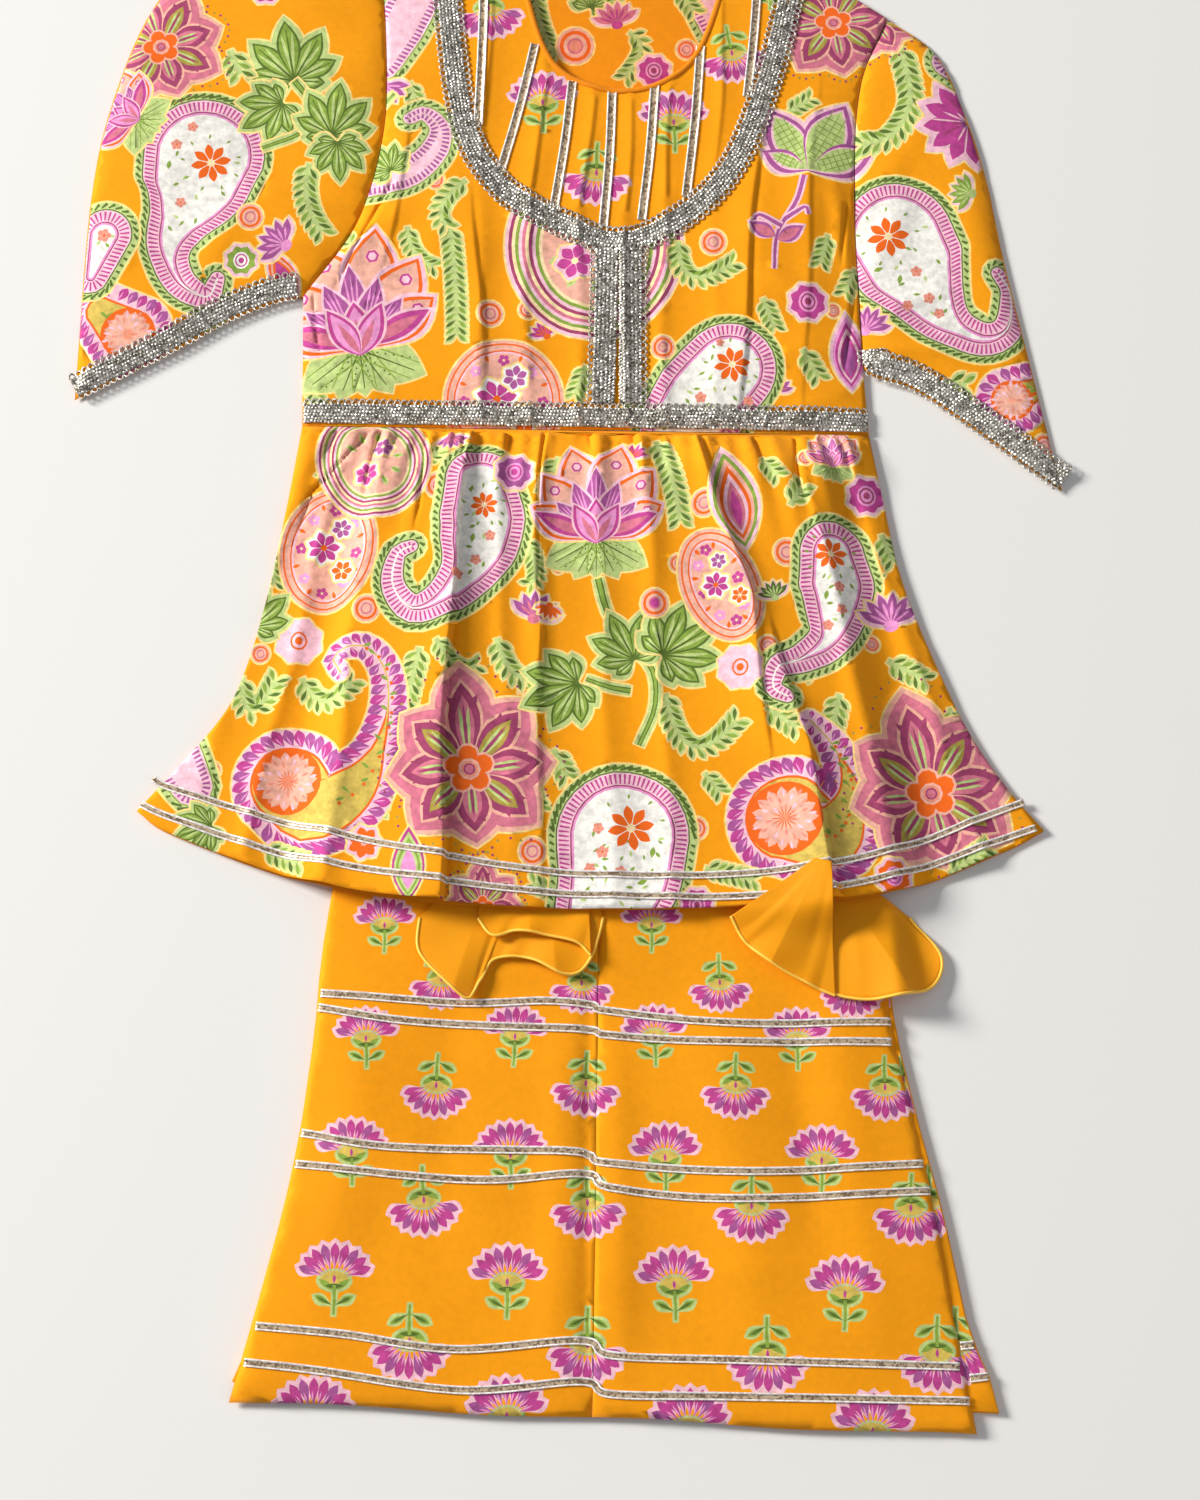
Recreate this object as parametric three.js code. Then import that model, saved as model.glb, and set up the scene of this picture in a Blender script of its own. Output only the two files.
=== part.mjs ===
// A child's sharara suit laid out on a table: a short peplum kurta over folded sharara trousers,
// with the two ends of a folded dupatta between them. Millimetres, +Z up, the table at z = 0,
// +Y towards the neck. Every cloth piece is a closed wall; pieces lie 0.3 mm apart.
import * as THREE from "three";

const CLOTH = 1.2;
const GAP = 0.3;
const TRIM = 0.8;
const LAYER = CLOTH + GAP;
// Moves the laid set so that the middle of its box stands over the origin.
const LAY_X = 1;
const LAY_Y = -23.5;

const LACE_WIDTH = 11.5;
const RIBBON_WIDTH = 4;
const BINDING_WIDTH = 3;

// The kurta's outline, as laid, seen from above.
const NECK_LEFT = { x: -33, y: 422 };
const NECK_RIGHT = { x: 82, y: 409 };
const TIP_LEFT = { x: -102, y: 402 };
const TIP_RIGHT = { x: 165, y: 355 };
const UNDERARM_LEFT = { x: -137, y: 199 };
const UNDERARM_RIGHT = { x: 148, y: 172 };
const WAIST_LEFT = { x: -136, y: 129 };
const WAIST_RIGHT = { x: 151, y: 124 };

const ARMHOLE_LEFT = [
  TIP_LEFT,
  { x: -97, y: 350 },
  { x: -97, y: 293 },
  { x: -110, y: 240 },
  UNDERARM_LEFT,
];
const ARMHOLE_RIGHT = [
  TIP_RIGHT,
  { x: 150, y: 315 },
  { x: 146, y: 253 },
  UNDERARM_RIGHT,
];
const YOKE_SEAM = [
  { x: -66, y: 412.4 },
  { x: -64, y: 355 },
  { x: -55, y: 293 },
  { x: -39, y: 262 },
  { x: -15, y: 244 },
  { x: 25, y: 228 },
  { x: 60, y: 244 },
  { x: 85, y: 273 },
  { x: 104, y: 325 },
  { x: 118, y: 385.6 },
];
const NECK_FRONT = [
  NECK_LEFT,
  { x: -22, y: 367 },
  { x: -7, y: 328 },
  { x: 27, y: 314 },
  { x: 59, y: 328 },
  { x: 76, y: 367 },
  NECK_RIGHT,
];
const NECK_BACK = [
  NECK_LEFT,
  { x: -6, y: 385 },
  { x: 25, y: 374 },
  { x: 57, y: 378 },
  NECK_RIGHT,
];
const SLEEVE_LEFT_OUTER = [
  TIP_LEFT,
  { x: -144, y: 412 },
  { x: -184, y: 400 },
  { x: -217, y: 365 },
  { x: -238, y: 310 },
  { x: -248, y: 250 },
  { x: -252, y: 143 },
];
const SLEEVE_LEFT_HEM = [
  { x: -150, y: 197 },
  { x: -174, y: 187 },
  { x: -201, y: 171 },
  { x: -252, y: 143 },
];
const SLEEVE_RIGHT_OUTER = [
  TIP_RIGHT,
  { x: 190, y: 335 },
  { x: 204, y: 302 },
  { x: 215, y: 262 },
  { x: 223, y: 215 },
  { x: 248, y: 94 },
];
const SLEEVE_RIGHT_HEM = [
  { x: 151, y: 158 },
  { x: 173, y: 150 },
  { x: 199, y: 132 },
  { x: 248, y: 94 },
];
const PEPLUM_LEFT = [
  { x: -142, y: 90 },
  { x: -152, y: 35 },
  { x: -168, y: -17 },
  { x: -194, y: -50 },
  { x: -213, y: -72 },
];
const PEPLUM_RIGHT = [
  { x: 158, y: 86 },
  { x: 168, y: 40 },
  { x: 194, y: -25 },
  { x: 216, y: -61 },
  { x: 233, y: -82 },
];
const PEPLUM_HEM = [
  { x: -213, y: -72 },
  { x: -193, y: -85 },
  { x: -117, y: -112 },
  { x: -40, y: -122 },
  { x: 60, y: -123 },
  { x: 150, y: -116 },
  { x: 212, y: -93 },
  { x: 233, y: -82 },
];

// Gathers of the peplum's front. waist and hem say where each fold starts and ends, 0 to 1 across;
// left and right are its half widths; reach is how far down it runs, 1 at the hem.
const PEPLUM_FOLDS = [
  { waist: 0.04, hem: 0.03, left: 0.035, right: 0.03, height: 2.2, reach: 0.9 },
  { waist: 0.1, hem: 0.1, left: 0.05, right: 0.04, height: 3.2, reach: 1.5 },
  { waist: 0.17, hem: 0.19, left: 0.05, right: 0.05, height: 2.6, reach: 1.5 },
  { waist: 0.248, hem: 0.33, left: 0.08, right: 0.022, height: 5.6, reach: 1.5 },
  { waist: 0.33, hem: 0.4, left: 0.04, right: 0.05, height: 2.0, reach: 1.2 },
  { waist: 0.43, hem: 0.48, left: 0.05, right: 0.05, height: 3.2, reach: 1.0 },
  { waist: 0.52, hem: 0.56, left: 0.05, right: 0.05, height: 2.2, reach: 1.2 },
  { waist: 0.6, hem: 0.63, left: 0.05, right: 0.05, height: 2.8, reach: 1.1 },
  { waist: 0.69, hem: 0.76, left: 0.06, right: 0.03, height: 4.6, reach: 1.5 },
  { waist: 0.78, hem: 0.84, left: 0.045, right: 0.05, height: 2.4, reach: 1.3 },
  { waist: 0.87, hem: 0.9, left: 0.05, right: 0.05, height: 3.2, reach: 1.5 },
  { waist: 0.95, hem: 0.965, left: 0.035, right: 0.03, height: 2.2, reach: 1.1 },
];
const FOLD_FADE = 0.35;
const PEPLUM_COLUMNS = 50;
// Rows down the peplum; each ribbon lies between its own row and the next.
const PEPLUM_ROWS = [
  { v: 0 },
  { v: 0.09 },
  { v: 0.2 },
  { v: 0.33 },
  { v: 0.47 },
  { v: 0.61 },
  { v: 0.74 },
  { v: 0.862, ribbon: "peplum_ribbon_upper" },
  { v: 0.879 },
  { v: 0.915, ribbon: "peplum_ribbon_lower" },
  { v: 0.932 },
  { v: 1 },
];

const YOKE_RIBBONS = [
  { name: "yoke_ribbon_1", topX: -46, topY: 400, endX: -48, endY: 300 },
  { name: "yoke_ribbon_2", topX: -20, topY: 335, endX: -35, endY: 273 },
  { name: "yoke_ribbon_3", topX: 0, topY: 314, endX: -8, endY: 253 },
  { name: "yoke_ribbon_4", topX: 21, topY: 308, endX: 17, endY: 243 },
  { name: "yoke_ribbon_5", topX: 43, topY: 311, endX: 37, endY: 247 },
  { name: "yoke_ribbon_6", topX: 67, topY: 334, endX: 60, endY: 260 },
  { name: "yoke_ribbon_7", topX: 98, topY: 386, endX: 92, endY: 316 },
];
const PLACKET = { top: 219, bottom: 142.5, left: 18.5, right: 30.4, flare: -2 };

// The sharara, folded along its rise with one leg on the other: a row for each height.
const SHARARA_ROWS = [
  { y: 72, left: -86, seam: 15, right: 116, under: 118 },
  { y: -15, left: -102, seam: 15, right: 134, under: 136 },
  { y: -112, left: -116, seam: 14, right: 151, under: 152 },
  { y: -177, left: -123, seam: 14, right: 155, under: 158 },
  { y: -246, left: -132, seam: 13, right: 171, under: 174 },
  { y: -316, left: -147, seam: 12, right: 183, under: 189 },
  { y: -367, left: -160, seam: 11, right: 192, under: 202 },
];
const LEG_HEM_LEFT_LIFT = 8;
const LEG_HEM_RIGHT_DROP = 8;
const LEG_COLUMNS = 10;
const LEG_DEPTHS = [0, 0.2, 0.42, 0.56, 0.72, 0.88, 1];
const LEG_SWELL = 1.4;
const UNDER_LEG_HEM = -360;
const FOLDED_HEIGHT = 3.6;
// Edge of the folded layers: z up the edge, and how far each height is set back.
const FOLDED_EDGE = [
  { z: 0, inset: 0 },
  { z: 1.05, inset: 0 },
  { z: 1.2, inset: 1.4 },
  { z: 1.35, inset: 0 },
  { z: 2.25, inset: 0.3 },
  { z: 2.4, inset: 1.7 },
  { z: 2.55, inset: 0.3 },
  { z: FOLDED_HEIGHT, inset: 0.6 },
];
const WAISTBAND = { left: -86, right: 117, top: 96, bottom: 72.3, edge: 2.4, middle: 6.2 };
const RUCHES = 28;
const RUCHE_DEPTH = 0.5;

// Narrow ribbons round the leg: y at the left edge, on either side of the seam, at the right edge.
const LEG_RIBBONS = [
  { name: "leg_ribbon_1_upper", left: -164, before: -168, after: -173, right: -178 },
  { name: "leg_ribbon_1_lower", left: -171, before: -181, after: -184, right: -188 },
  { name: "leg_ribbon_2_upper", left: -232, before: -241, after: -247, right: -247 },
  { name: "leg_ribbon_2_lower", left: -247, before: -252, after: -259, right: -260 },
  { name: "leg_ribbon_3_upper", left: -324, before: -331, after: -338, right: -343 },
  { name: "leg_ribbon_3_lower", left: -341, before: -350, after: -356, right: -358 },
];

// Height at which the kurta passes over the folded sharara and dupatta.
const BED = { height: 9.6, margin: 4, slope: 26 };

const DUPATTA_FOLD = { left: -62, right: 146, top: -58, bottom: -112, height: 2.4 };
const HEM_CLEAR = -125;
const DUPATTA_LEFT = [
  { x: -72, y: -126 },
  { x: -70, y: -146 },
  { x: -58, y: -164 },
  { x: -38, y: -167 },
  { x: -14, y: -160 },
  { x: 12, y: -144 },
  { x: 20, y: -127 },
];
const DUPATTA_RIGHT = [
  { x: 82, y: -127 },
  { x: 93, y: -147 },
  { x: 126, y: -163 },
  { x: 152, y: -168 },
  { x: 175, y: -162 },
  { x: 181, y: -146 },
  { x: 166, y: -127 },
];

const PRINT = { color: 0xf5a31c, roughness: 0.85, metalness: 0 };
const SHEER = { color: 0xf0aa1e, roughness: 0.6, metalness: 0 };
const SILVER = { color: 0xb4b0a6, roughness: 0.45, metalness: 0.7 };

const suit = new THREE.Group();
suit.position.set(LAY_X, LAY_Y, 0);

function ease(value) {
  const t = THREE.MathUtils.clamp(value, 0, 1);
  return t * t * (3 - 2 * t);
}

function steps(count, from = 0, to = 1) {
  return Array.from({ length: count + 1 }, (_, index) => from + (to - from) * index / count);
}

// Lines are functions from 0 to 1 along their length to a point.
function through(points) {
  const curve = new THREE.SplineCurve(points.map(({ x, y }) => new THREE.Vector2(x, y)));
  return (t) => curve.getPointAt(THREE.MathUtils.clamp(t, 0, 1));
}

function straight(from, to) {
  const start = new THREE.Vector2(from.x, from.y);
  const end = new THREE.Vector2(to.x, to.y);
  return (t) => start.clone().lerp(end, t);
}

// Lines end to end, each over its share of 0 to 1.
function joined(parts) {
  return (t) => {
    let start = 0;
    for (const { line, share } of parts) {
      if (t <= start + share + 1e-9) {
        return line((t - start) / share);
      }
      start += share;
    }
    return parts.at(-1).line(1);
  };
}

function shifted(line, x, y) {
  return (t) => line(t).add(new THREE.Vector2(x, y));
}

function reversed(line) {
  return (t) => line(1 - t);
}

// The line moved sideways, to the left of its own direction.
function beside(line, distance) {
  return (t) => {
    const along = line(Math.min(1, t + 0.004)).sub(line(Math.max(0, t - 0.004))).normalize();
    return line(t).add(new THREE.Vector2(-along.y, along.x).multiplyScalar(distance));
  };
}

// A patch inside four lines: top and bottom run left to right, the sides run top to bottom.
function patch(top, bottom, left, right) {
  return (u, v) => {
    const across = top(u).lerp(bottom(u), v);
    const down = left(v).lerp(right(v), u);
    const corners = left(0).lerp(right(0), u).lerp(left(1).lerp(right(1), u), v);
    return across.add(down).sub(corners);
  };
}

// A patch from one line to another that runs the same way.
function between(inner, outer) {
  return (u, v) => inner(u).lerp(outer(u), v);
}

function at(place, z) {
  return (u, v) => {
    const { x, y } = place(u, v);
    return { x, y, z: typeof z === "function" ? z(u, v, x, y) : z };
  };
}

function raised(surface, lift) {
  return (u, v) => {
    const point = surface(u, v);
    const height = typeof lift === "function" ? lift(u, v) : lift;
    return { ...point, z: point.z + height };
  };
}

// Six times the volume; it is negative when a closed mesh's faces point inwards.
function signedVolume(positions, faces) {
  const corner = (index) => new THREE.Vector3().fromArray(positions, 3 * index);
  let volume = 0;
  for (let index = 0; index < faces.length; index += 3) {
    const [a, b, c] = faces.slice(index, index + 3).map(corner);
    volume += a.dot(b.cross(c));
  }
  return volume;
}

function addMesh(name, positions, faces, finish) {
  const outward = signedVolume(positions, faces) > 0 ? faces : faces.toReversed();
  const geometry = new THREE.BufferGeometry();
  geometry.setAttribute("position", new THREE.Float32BufferAttribute(positions, 3));
  geometry.setIndex(outward);
  geometry.computeVertexNormals();
  const mesh = new THREE.Mesh(geometry, new THREE.MeshStandardMaterial(finish));
  mesh.name = name;
  suit.add(mesh);
}

// A closed wall of cloth between two surfaces, over a grid of columns u and rows v.
function wall(name, columns, rows, inner, outer, finish) {
  const positions = [];
  for (const surface of [inner, outer]) {
    for (const v of rows) {
      for (const u of columns) {
        const { x, y, z } = surface(u, v);
        positions.push(x, y, z);
      }
    }
  }
  const lastColumn = columns.length - 1;
  const lastRow = rows.length - 1;
  const inside = (row, column) => row * columns.length + column;
  const outside = (row, column) => (rows.length + row) * columns.length + column;
  const faces = [];
  const quad = (a, b, c, d) => faces.push(a, b, c, a, c, d);
  for (let row = 0; row < lastRow; row += 1) {
    for (let column = 0; column < lastColumn; column += 1) {
      const a = [row, column];
      const b = [row, column + 1];
      const c = [row + 1, column + 1];
      const d = [row + 1, column];
      faces.push(outside(...a), outside(...b), outside(...c), outside(...a), outside(...c), outside(...d));
      faces.push(inside(...a), inside(...c), inside(...b), inside(...a), inside(...d), inside(...c));
    }
    quad(outside(row, 0), outside(row + 1, 0), inside(row + 1, 0), inside(row, 0));
    quad(outside(row + 1, lastColumn), outside(row, lastColumn), inside(row, lastColumn),
      inside(row + 1, lastColumn));
  }
  for (let column = 0; column < lastColumn; column += 1) {
    quad(outside(0, column + 1), outside(0, column), inside(0, column), inside(0, column + 1));
    quad(outside(lastRow, column), outside(lastRow, column + 1), inside(lastRow, column + 1),
      inside(lastRow, column));
  }
  addMesh(name, positions, faces, finish);
}

function panel(name, columns, rows, under, finish = PRINT) {
  wall(name, columns, rows, under, raised(under, CLOTH), finish);
}

// A strip of trim of one width along a line.
function strip(name, line, count, width, z, finish = SILVER) {
  const under = at(between(beside(line, width / 2), beside(line, -width / 2)), z);
  wall(name, steps(count), [0, 1], under, raised(under, TRIM), finish);
}

// Sharara: two panels of the upper leg, sewn at the side, over the folded inner layers.

function rowValue(y, column) {
  const last = SHARARA_ROWS.length - 1;
  const found = SHARARA_ROWS.findIndex((row) => row.y <= y);
  const lower = found < 0 ? last : Math.max(1, found);
  const above = SHARARA_ROWS[lower - 1];
  const below = SHARARA_ROWS[lower];
  const t = THREE.MathUtils.clamp((above.y - y) / (above.y - below.y), 0, 1);
  return THREE.MathUtils.lerp(above[column], below[column], t);
}

const SHARARA_TOP = SHARARA_ROWS[0].y;
const SHARARA_HEM = SHARARA_ROWS.at(-1).y;
const LEG_UNDERSIDE = FOLDED_HEIGHT + GAP;
const LEG_TOP = LEG_UNDERSIDE + LEG_SWELL + CLOTH;

// across runs from 0 at the left edge to 1 at the seam and 2 at the right edge. The cloth swells
// a little on each side of the seam.
function legPoint(across, y) {
  const onFront = across <= 1;
  const half = onFront ? across : across - 1;
  const from = rowValue(y, onFront ? "left" : "seam") + (onFront ? 0 : GAP);
  const to = rowValue(y, onFront ? "seam" : "right");
  const swell = LEG_SWELL * Math.sin(Math.PI * half);
  return { x: THREE.MathUtils.lerp(from, to, half), y, z: LEG_UNDERSIDE + swell };
}

function legPanel(name, start) {
  const under = (u, v) => {
    const y = THREE.MathUtils.lerp(SHARARA_TOP, SHARARA_HEM, v);
    const point = legPoint(start + u, y);
    const drop = THREE.MathUtils.lerp(LEG_HEM_LEFT_LIFT, -LEG_HEM_RIGHT_DROP, (start + u) / 2);
    return { ...point, y: y + drop * ease((v - 0.7) / 0.3) };
  };
  const columns = steps(LEG_COLUMNS);
  columns[0] = start > 0 ? 1e-4 : 0;
  panel(name, columns, LEG_DEPTHS, under);
}

legPanel("leg_upper_front", 0);
legPanel("leg_upper_back", 1);

for (const ribbon of LEG_RIBBONS) {
  const jogStart = 0.92;
  const jogEnd = 1.1;
  const height = (across) => {
    if (across <= jogStart) {
      return THREE.MathUtils.lerp(ribbon.left, ribbon.before, across / jogStart);
    }
    if (across < jogEnd) {
      return THREE.MathUtils.lerp(ribbon.before, ribbon.after, (across - jogStart) / (jogEnd - jogStart));
    }
    return THREE.MathUtils.lerp(ribbon.after, ribbon.right, (across - jogEnd) / (2 - jogEnd));
  };
  const under = (u, v) => {
    const point = legPoint(u, height(u) + (0.5 - v) * RIBBON_WIDTH);
    return { ...point, z: point.z + CLOTH + GAP };
  };
  wall(ribbon.name, steps(2 * LEG_COLUMNS, 0, 2), [0, 1], under, raised(under, TRIM), SILVER);
}

function foldedLayers() {
  const side = (column, y) => new THREE.Vector2(rowValue(y, column), y);
  const hemLeft = rowValue(UNDER_LEG_HEM, "left") + GAP;
  const hemRight = rowValue(UNDER_LEG_HEM, "under");
  const rim = steps(7, SHARARA_TOP, UNDER_LEG_HEM).map((y) => side("left", y));
  rim.push(...steps(7, hemLeft, hemRight).slice(1).map((x) => new THREE.Vector2(x, UNDER_LEG_HEM)));
  rim.push(...steps(8, UNDER_LEG_HEM, SHARARA_TOP).slice(1).map((y) => side("under", y)));
  const middle = new THREE.Vector2(20, -150);
  const positions = [];
  for (const { z, inset } of FOLDED_EDGE) {
    for (const point of rim) {
      const inward = middle.clone().sub(point).setLength(inset);
      positions.push(point.x + inward.x, point.y + inward.y, z);
    }
  }
  const count = rim.length;
  const topRing = (FOLDED_EDGE.length - 1) * count;
  const faces = [];
  for (let start = 0; start < topRing; start += count) {
    for (let index = 0; index < count; index += 1) {
      const a = start + index;
      const b = start + (index + 1) % count;
      faces.push(a, b, b + count, a, b + count, a + count);
    }
  }
  for (const [a, b, c] of THREE.ShapeUtils.triangulateShape(rim, [])) {
    const turnsLeft = THREE.ShapeUtils.area([rim[a], rim[b], rim[c]]) > 0;
    const [p, q, r] = turnsLeft ? [a, b, c] : [c, b, a];
    faces.push(r, q, p, topRing + p, topRing + q, topRing + r);
  }
  addMesh("leg_under_and_inner_layers", positions, faces, PRINT);
}

foldedLayers();

function waistband() {
  const under = (u, v) => ({
    x: THREE.MathUtils.lerp(WAISTBAND.left, WAISTBAND.right, u),
    y: THREE.MathUtils.lerp(WAISTBAND.top, WAISTBAND.bottom, v),
    z: 0,
  });
  const thickness = (u, v) => {
    const swell = Math.sin(Math.PI * v) * (WAISTBAND.middle - WAISTBAND.edge);
    return WAISTBAND.edge + swell - RUCHE_DEPTH * (Math.round(u * RUCHES) % 2);
  };
  wall("sharara_waistband", steps(RUCHES), steps(4), under, raised(under, thickness), PRINT);
}

waistband();

// Dupatta: its folded length lies on the sharara under the kurta, and two ends come out.

const DUPATTA_UNDERSIDE = LEG_TOP + GAP;

function dupattaFold() {
  const corner = (x, y) => ({ x, y });
  const { left, right, top, bottom, height } = DUPATTA_FOLD;
  const place = patch(
    straight(corner(left, top), corner(right, top)),
    straight(corner(left - 6, bottom), corner(right, bottom)),
    straight(corner(left, top), corner(left - 6, bottom)),
    straight(corner(right, top), corner(right, bottom)),
  );
  const under = at(place, DUPATTA_UNDERSIDE);
  const rounded = (u, v) => height - 1.2 * (1 - ease(Math.min(u, 1 - u) / 0.06)) * (v < 1 ? 1 : 0);
  wall("dupatta_folded", [0, 0.03, 0.1, 0.5, 0.9, 0.97, 1], [0, 0.5, 1], under, raised(under, rounded), SHEER);
}

dupattaFold();

// An end fans out from under the hem in ruffles that grow towards its rim.
function dupattaEnd(name, root, rim, ruffles, ruffleHeight) {
  const place = between(root, through(rim));
  const under = at(place, (u, v, x, y) => {
    const wave = 0.5 - 0.5 * Math.cos(2 * Math.PI * ruffles * u);
    return restHeight(x, y) + ruffleHeight * wave * ease((HEM_CLEAR - y) / 25);
  });
  wall(name, steps(ruffles * 8), [0, 0.2, 0.45, 0.75, 1], under, raised(under, CLOTH), SHEER);
}

// On the sharara the ends rest high enough to clear its first ribbon; past its edge they come down.
function restHeight(x, y) {
  const onLeg = DUPATTA_UNDERSIDE + (TRIM + GAP) * ease((DUPATTA_FOLD.bottom - 18 - y) / 15);
  return onLeg * (1 - ease((x - rowValue(y, "under") - 3) / 14));
}

const rootY = DUPATTA_FOLD.bottom - GAP;
const rootLeft = straight({ x: -60, y: rootY }, { x: 10, y: rootY });
const rootRight = straight({ x: 118, y: rootY }, { x: 144, y: rootY });
dupattaEnd("dupatta_end_left", rootLeft, DUPATTA_LEFT, 4, 6);
dupattaEnd("dupatta_end_right", rootRight, DUPATTA_RIGHT, 3, 8);

// Kurta bodice and yoke, lying flat.

const armholeLeft = through(ARMHOLE_LEFT);
const armholeRight = through(ARMHOLE_RIGHT);
const waist = straight(WAIST_LEFT, WAIST_RIGHT);
const yokeSeam = through(YOKE_SEAM);
const FRONT_UNDERSIDE = LAYER;
const FRONT_TOP = FRONT_UNDERSIDE + CLOTH;
const ARMHOLE_STEPS = 8;

// Shares of the bodice front's outer edge, from the left shoulder tip round to the right one.
const EDGE_SHARES = { armholeLeft: 0.32, sideLeft: 0.07, waist: 0.24, sideRight: 0.05, armholeRight: 0.32 };

function frontColumns() {
  const counts = [ARMHOLE_STEPS, 2, 10, 2, ARMHOLE_STEPS];
  const columns = [0];
  let start = 0;
  Object.values(EDGE_SHARES).forEach((share, index) => {
    columns.push(...steps(counts[index], start, start + share).slice(1));
    start += share;
  });
  columns[columns.length - 1] = 1;
  return columns;
}

const outerEdge = joined([
  { line: armholeLeft, share: EDGE_SHARES.armholeLeft },
  { line: straight(UNDERARM_LEFT, WAIST_LEFT), share: EDGE_SHARES.sideLeft },
  { line: waist, share: EDGE_SHARES.waist },
  { line: straight(WAIST_RIGHT, UNDERARM_RIGHT), share: EDGE_SHARES.sideRight },
  { line: reversed(armholeRight), share: EDGE_SHARES.armholeRight },
]);
panel("bodice_front", frontColumns(), [0, 0.34, 0.67, 1], at(between(yokeSeam, outerEdge), FRONT_UNDERSIDE));

const neckFront = through(NECK_FRONT);
panel("yoke", frontColumns(), [0, 0.5, 1], at(between(neckFront, beside(yokeSeam, GAP)), FRONT_UNDERSIDE));

const neckBack = through(NECK_BACK);
const backTop = joined([
  { line: straight(TIP_LEFT, NECK_LEFT), share: 0.3 },
  { line: neckBack, share: 0.4 },
  { line: straight(NECK_RIGHT, TIP_RIGHT), share: 0.3 },
]);
const SIDE_SHARE = 0.25;
const backSide = (armhole, underarm, waistEnd) => joined([
  { line: armhole, share: 1 - SIDE_SHARE },
  { line: straight(underarm, waistEnd), share: SIDE_SHARE },
]);
const backPlace = patch(
  backTop,
  waist,
  backSide(armholeLeft, UNDERARM_LEFT, WAIST_LEFT),
  backSide(armholeRight, UNDERARM_RIGHT, WAIST_RIGHT),
);
const backRows = steps(ARMHOLE_STEPS, 0, 1 - SIDE_SHARE).concat([1 - SIDE_SHARE / 2, 1]);
const backColumns = [0, 0.15, ...steps(8, 0.3, 0.7), 0.85, 1];
panel("bodice_back", backColumns, backRows, at(backPlace, 0));

const neckFrontInset = beside(neckFront, BINDING_WIDTH / 2 + GAP);
strip("neck_binding_front", (t) => neckFrontInset(0.03 + 0.94 * t), 24, BINDING_WIDTH, FRONT_TOP + GAP, PRINT);
const neckBackInset = beside(neckBack, -BINDING_WIDTH / 2 - GAP);
strip("neck_binding_back", (t) => neckBackInset(0.3 + 0.4 * t), 8, BINDING_WIDTH, LAYER, PRINT);

// Sleeves, each one piece folded flat along its outer edge.

function sleeve(name, armhole, outerLine, hem, shift) {
  const armholeLine = shifted(reversed(armhole), shift, 0);
  const start = armholeLine(0);
  const place = patch(armholeLine, hem, straight(start, hem(0)), shifted(outerLine, shift, 0));
  const foldInset = 0.012;
  const sheet = (q) => (q <= 0.5 ? 2 * q : 2 - 2 * q);
  const outside = (q, v) => {
    const { x, y } = place(sheet(q), v);
    return { x, y, z: q <= 0.5 ? 0 : 2 * CLOTH + GAP };
  };
  const inside = (q, v) => {
    const { x, y } = place(sheet(q) * (1 - foldInset), v);
    return { x, y, z: q <= 0.5 ? CLOTH : LAYER };
  };
  const half = steps(ARMHOLE_STEPS, 0, 0.5);
  const columns = half.concat(half.slice().reverse().map((q) => 1 - q));
  columns[ARMHOLE_STEPS + 1] = 0.5 + 1e-6;
  wall(name, columns, steps(6), inside, outside, PRINT);
}

const sleeveHemLeft = through(SLEEVE_LEFT_HEM);
const sleeveHemRight = through(SLEEVE_RIGHT_HEM);
sleeve("sleeve_left", armholeLeft, through(SLEEVE_LEFT_OUTER), sleeveHemLeft, -2 * GAP);
sleeve("sleeve_right", armholeRight, through(SLEEVE_RIGHT_OUTER), sleeveHemRight, 2 * GAP);

// Peplum: back panel flat, front panel gathered, both passing over the sharara.

function bedHeight(x, y) {
  const fall = (distance) => 1 - ease((distance - BED.margin) / BED.slope);
  const leftFall = fall(rowValue(y, "left") - x);
  const rightFall = fall(x - rowValue(y, "under"));
  return BED.height * leftFall * rightFall * fall(y - WAISTBAND.top);
}

const seamLeft = { x: WAIST_LEFT.x, y: WAIST_LEFT.y - GAP };
const seamRight = { x: WAIST_RIGHT.x, y: WAIST_RIGHT.y - GAP };
const peplumPlace = patch(
  straight(seamLeft, seamRight),
  through(PEPLUM_HEM),
  through([seamLeft, ...PEPLUM_LEFT]),
  through([seamRight, ...PEPLUM_RIGHT]),
);

function foldHeight(u, v) {
  let height = 0;
  for (const fold of PEPLUM_FOLDS) {
    const middle = THREE.MathUtils.lerp(fold.waist, fold.hem, v);
    const distance = u - middle;
    const width = distance < 0 ? fold.left : fold.right;
    const profile = Math.abs(distance) < width ? 0.5 + 0.5 * Math.cos(Math.PI * distance / width) : 0;
    const length = ease(0.3 + v / 0.2) * (1 - ease((v - fold.reach + FOLD_FADE) / FOLD_FADE));
    height += fold.height * profile * length;
  }
  return height;
}

const peplumColumns = steps(PEPLUM_COLUMNS);
const peplumRows = PEPLUM_ROWS.map((row) => row.v);
const peplumBack = at(peplumPlace, (u, v, x, y) => bedHeight(x, y));
panel("peplum_back", peplumColumns, peplumRows, peplumBack);
const peplumFront = raised(peplumBack, (u, v) => LAYER + foldHeight(u, v));
panel("peplum_front", peplumColumns, peplumRows, peplumFront);
const peplumTop = raised(peplumFront, CLOTH + GAP);
PEPLUM_ROWS.forEach((row, index) => {
  if (row.ribbon) {
    const ribbonRows = [row.v, PEPLUM_ROWS[index + 1].v];
    wall(row.ribbon, peplumColumns, ribbonRows, peplumTop, raised(peplumTop, TRIM), SILVER);
  }
});

// Silver trims of the bodice and sleeves.

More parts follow.
